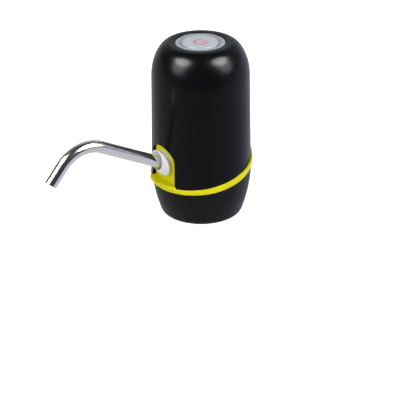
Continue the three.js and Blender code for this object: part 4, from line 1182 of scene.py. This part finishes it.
class JUGPUMP_OT_finishes(bpy.types.Operator):
    """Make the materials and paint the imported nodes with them"""

    bl_idname = "jugpump.finishes"
    bl_label = "Finishes"

    def execute(self, context):
        FINISHES.update(make_materials(context.scene.jug_finishes))
        paint_frame(FINISHES)
        return {"FINISHED"}


class JUGPUMP_OT_stage(bpy.types.Operator):
    """Set up the camera, the lamps, the world and the floor"""

    bl_idname = "jugpump.stage"
    bl_label = "Stage"

    def execute(self, context):
        stage = context.scene.jug_stage
        context.scene.view_settings.view_transform = "Standard"
        make_camera(stage)
        make_world(stage.azimuth, stage.sky, stage.table, stage.ceiling, stage.backdrop, stage.window)
        make_floor(stage.floor)
        for name, azimuth, high, low, power in (("left", 4, -3, -3, stage.left),
                                                ("right", 112, 116, 121, stage.right)):
            lamp(name + " lamp", azimuth, 38, 0.5, 0.5, power, False)
            lamp(name + " sheen", high, 44, 0.56, 0.4, stage.sheen, True)
            lamp(name + " low sheen", low, 26, 0.55, 0.45, stage.low_sheen, True)
        return {"FINISHED"}


class JUGPUMP_OT_housing(bpy.types.Operator):
    """Build the glossy housing with its arch and charging slot"""

    bl_idname = "jugpump.housing"
    bl_label = "Housing"

    def execute(self, context):
        made = make_housing(millimetres(context.scene.jug_shell), FINISHES["gloss_black"])
        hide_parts("housing")
        return {"FINISHED"}


class JUGPUMP_OT_skirt(bpy.types.Operator):
    """Build the black skirt round the neck"""

    bl_idname = "jugpump.skirt"
    bl_label = "Skirt"

    def execute(self, context):
        skirt = context.scene.jug_skirt
        made = make_skirt(millimetres(context.scene.jug_shell), millimetres(skirt), skirt.fillet_start,
                          skirt.flare, FINISHES["skirt_black"])
        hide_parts("base_skirt")
        return {"FINISHED"}


class JUGPUMP_OT_trim(bpy.types.Operator):
    """Build the yellow ring and the panel that the spout comes out of"""

    bl_idname = "jugpump.trim"
    bl_label = "Yellow trim"

    def execute(self, context):
        size, spout = millimetres(context.scene.jug_shell), context.scene.jug_spout
        ring = make_ring(size, FINISHES["yellow"])
        panel = make_panel(size, millimetres(spout), spout.tilt, FINISHES["yellow"])
        for made in (ring, panel):
            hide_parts("trim_ring")
        return {"FINISHED"}


class JUGPUMP_OT_button(bpy.types.Operator):
    """Build the bezel, the button and its sign"""

    bl_idname = "jugpump.button"
    bl_label = "Button"

    def execute(self, context):
        make_button(millimetres(context.scene.jug_button), FINISHES["bezel"], FINISHES["symbol_red"])
        return {"FINISHED"}


class JUGPUMP_OT_spout(bpy.types.Operator):
    """Build the collar and the steel spout"""

    bl_idname = "jugpump.spout"
    bl_label = "Spout"

    def execute(self, context):
        spout = context.scene.jug_spout
        size = millimetres(spout)
        panel_radius = context.scene.jug_shell.panel_radius / MM
        make_collar(size, spout.tilt, spout.droop, panel_radius, FINISHES["milky"])
        make_tube(size, spout.tilt, spout.fall, FINISHES["steel"])
        return {"FINISHED"}


class JUGPUMP_OT_base(bpy.types.Operator):
    """Build the seal and the barb that show from below"""

    bl_idname = "jugpump.base"
    bl_label = "Seal and barb"

    def execute(self, context):
        make_base(FINISHES["silicone"], FINISHES["pump_plastic"])
        return {"FINISHED"}


class JUGPUMP_PT_panel(bpy.types.Panel):
    """Lists the pump's pieces"""

    bl_idname = "JUGPUMP_PT_panel"
    bl_label = "Jug Pump"
    bl_space_type = "VIEW_3D"
    bl_region_type = "UI"
    bl_category = "Jug Pump"

    def draw(self, context):
        for step in STEPS:
            self.layout.operator(step.bl_idname)


STEPS = (JUGPUMP_OT_finishes, JUGPUMP_OT_stage, JUGPUMP_OT_housing, JUGPUMP_OT_skirt, JUGPUMP_OT_trim,
         JUGPUMP_OT_button, JUGPUMP_OT_spout, JUGPUMP_OT_base)
GROUPS = {"jug_shell": ShellSizes, "jug_skirt": SkirtSizes, "jug_spout": SpoutSizes,
          "jug_button": ButtonSizes, "jug_finishes": Finishes, "jug_stage": StageSettings}


def register():
    for kind in (*GROUPS.values(), *STEPS, JUGPUMP_PT_panel):
        bpy.utils.register_class(kind)
    for name, kind in GROUPS.items():
        setattr(bpy.types.Scene, name, PointerProperty(type=kind))


def unregister():
    for name in GROUPS:
        delattr(bpy.types.Scene, name)
    for kind in reversed((*GROUPS.values(), *STEPS, JUGPUMP_PT_panel)):
        bpy.utils.unregister_class(kind)


def main():
    register()
    bpy.ops.jugpump.finishes()
    bpy.ops.jugpump.stage()
    bpy.ops.jugpump.housing()
    bpy.ops.jugpump.skirt()
    bpy.ops.jugpump.trim()
    bpy.ops.jugpump.button()
    bpy.ops.jugpump.spout()
    bpy.ops.jugpump.base()


if __name__ == "__main__":
    main()
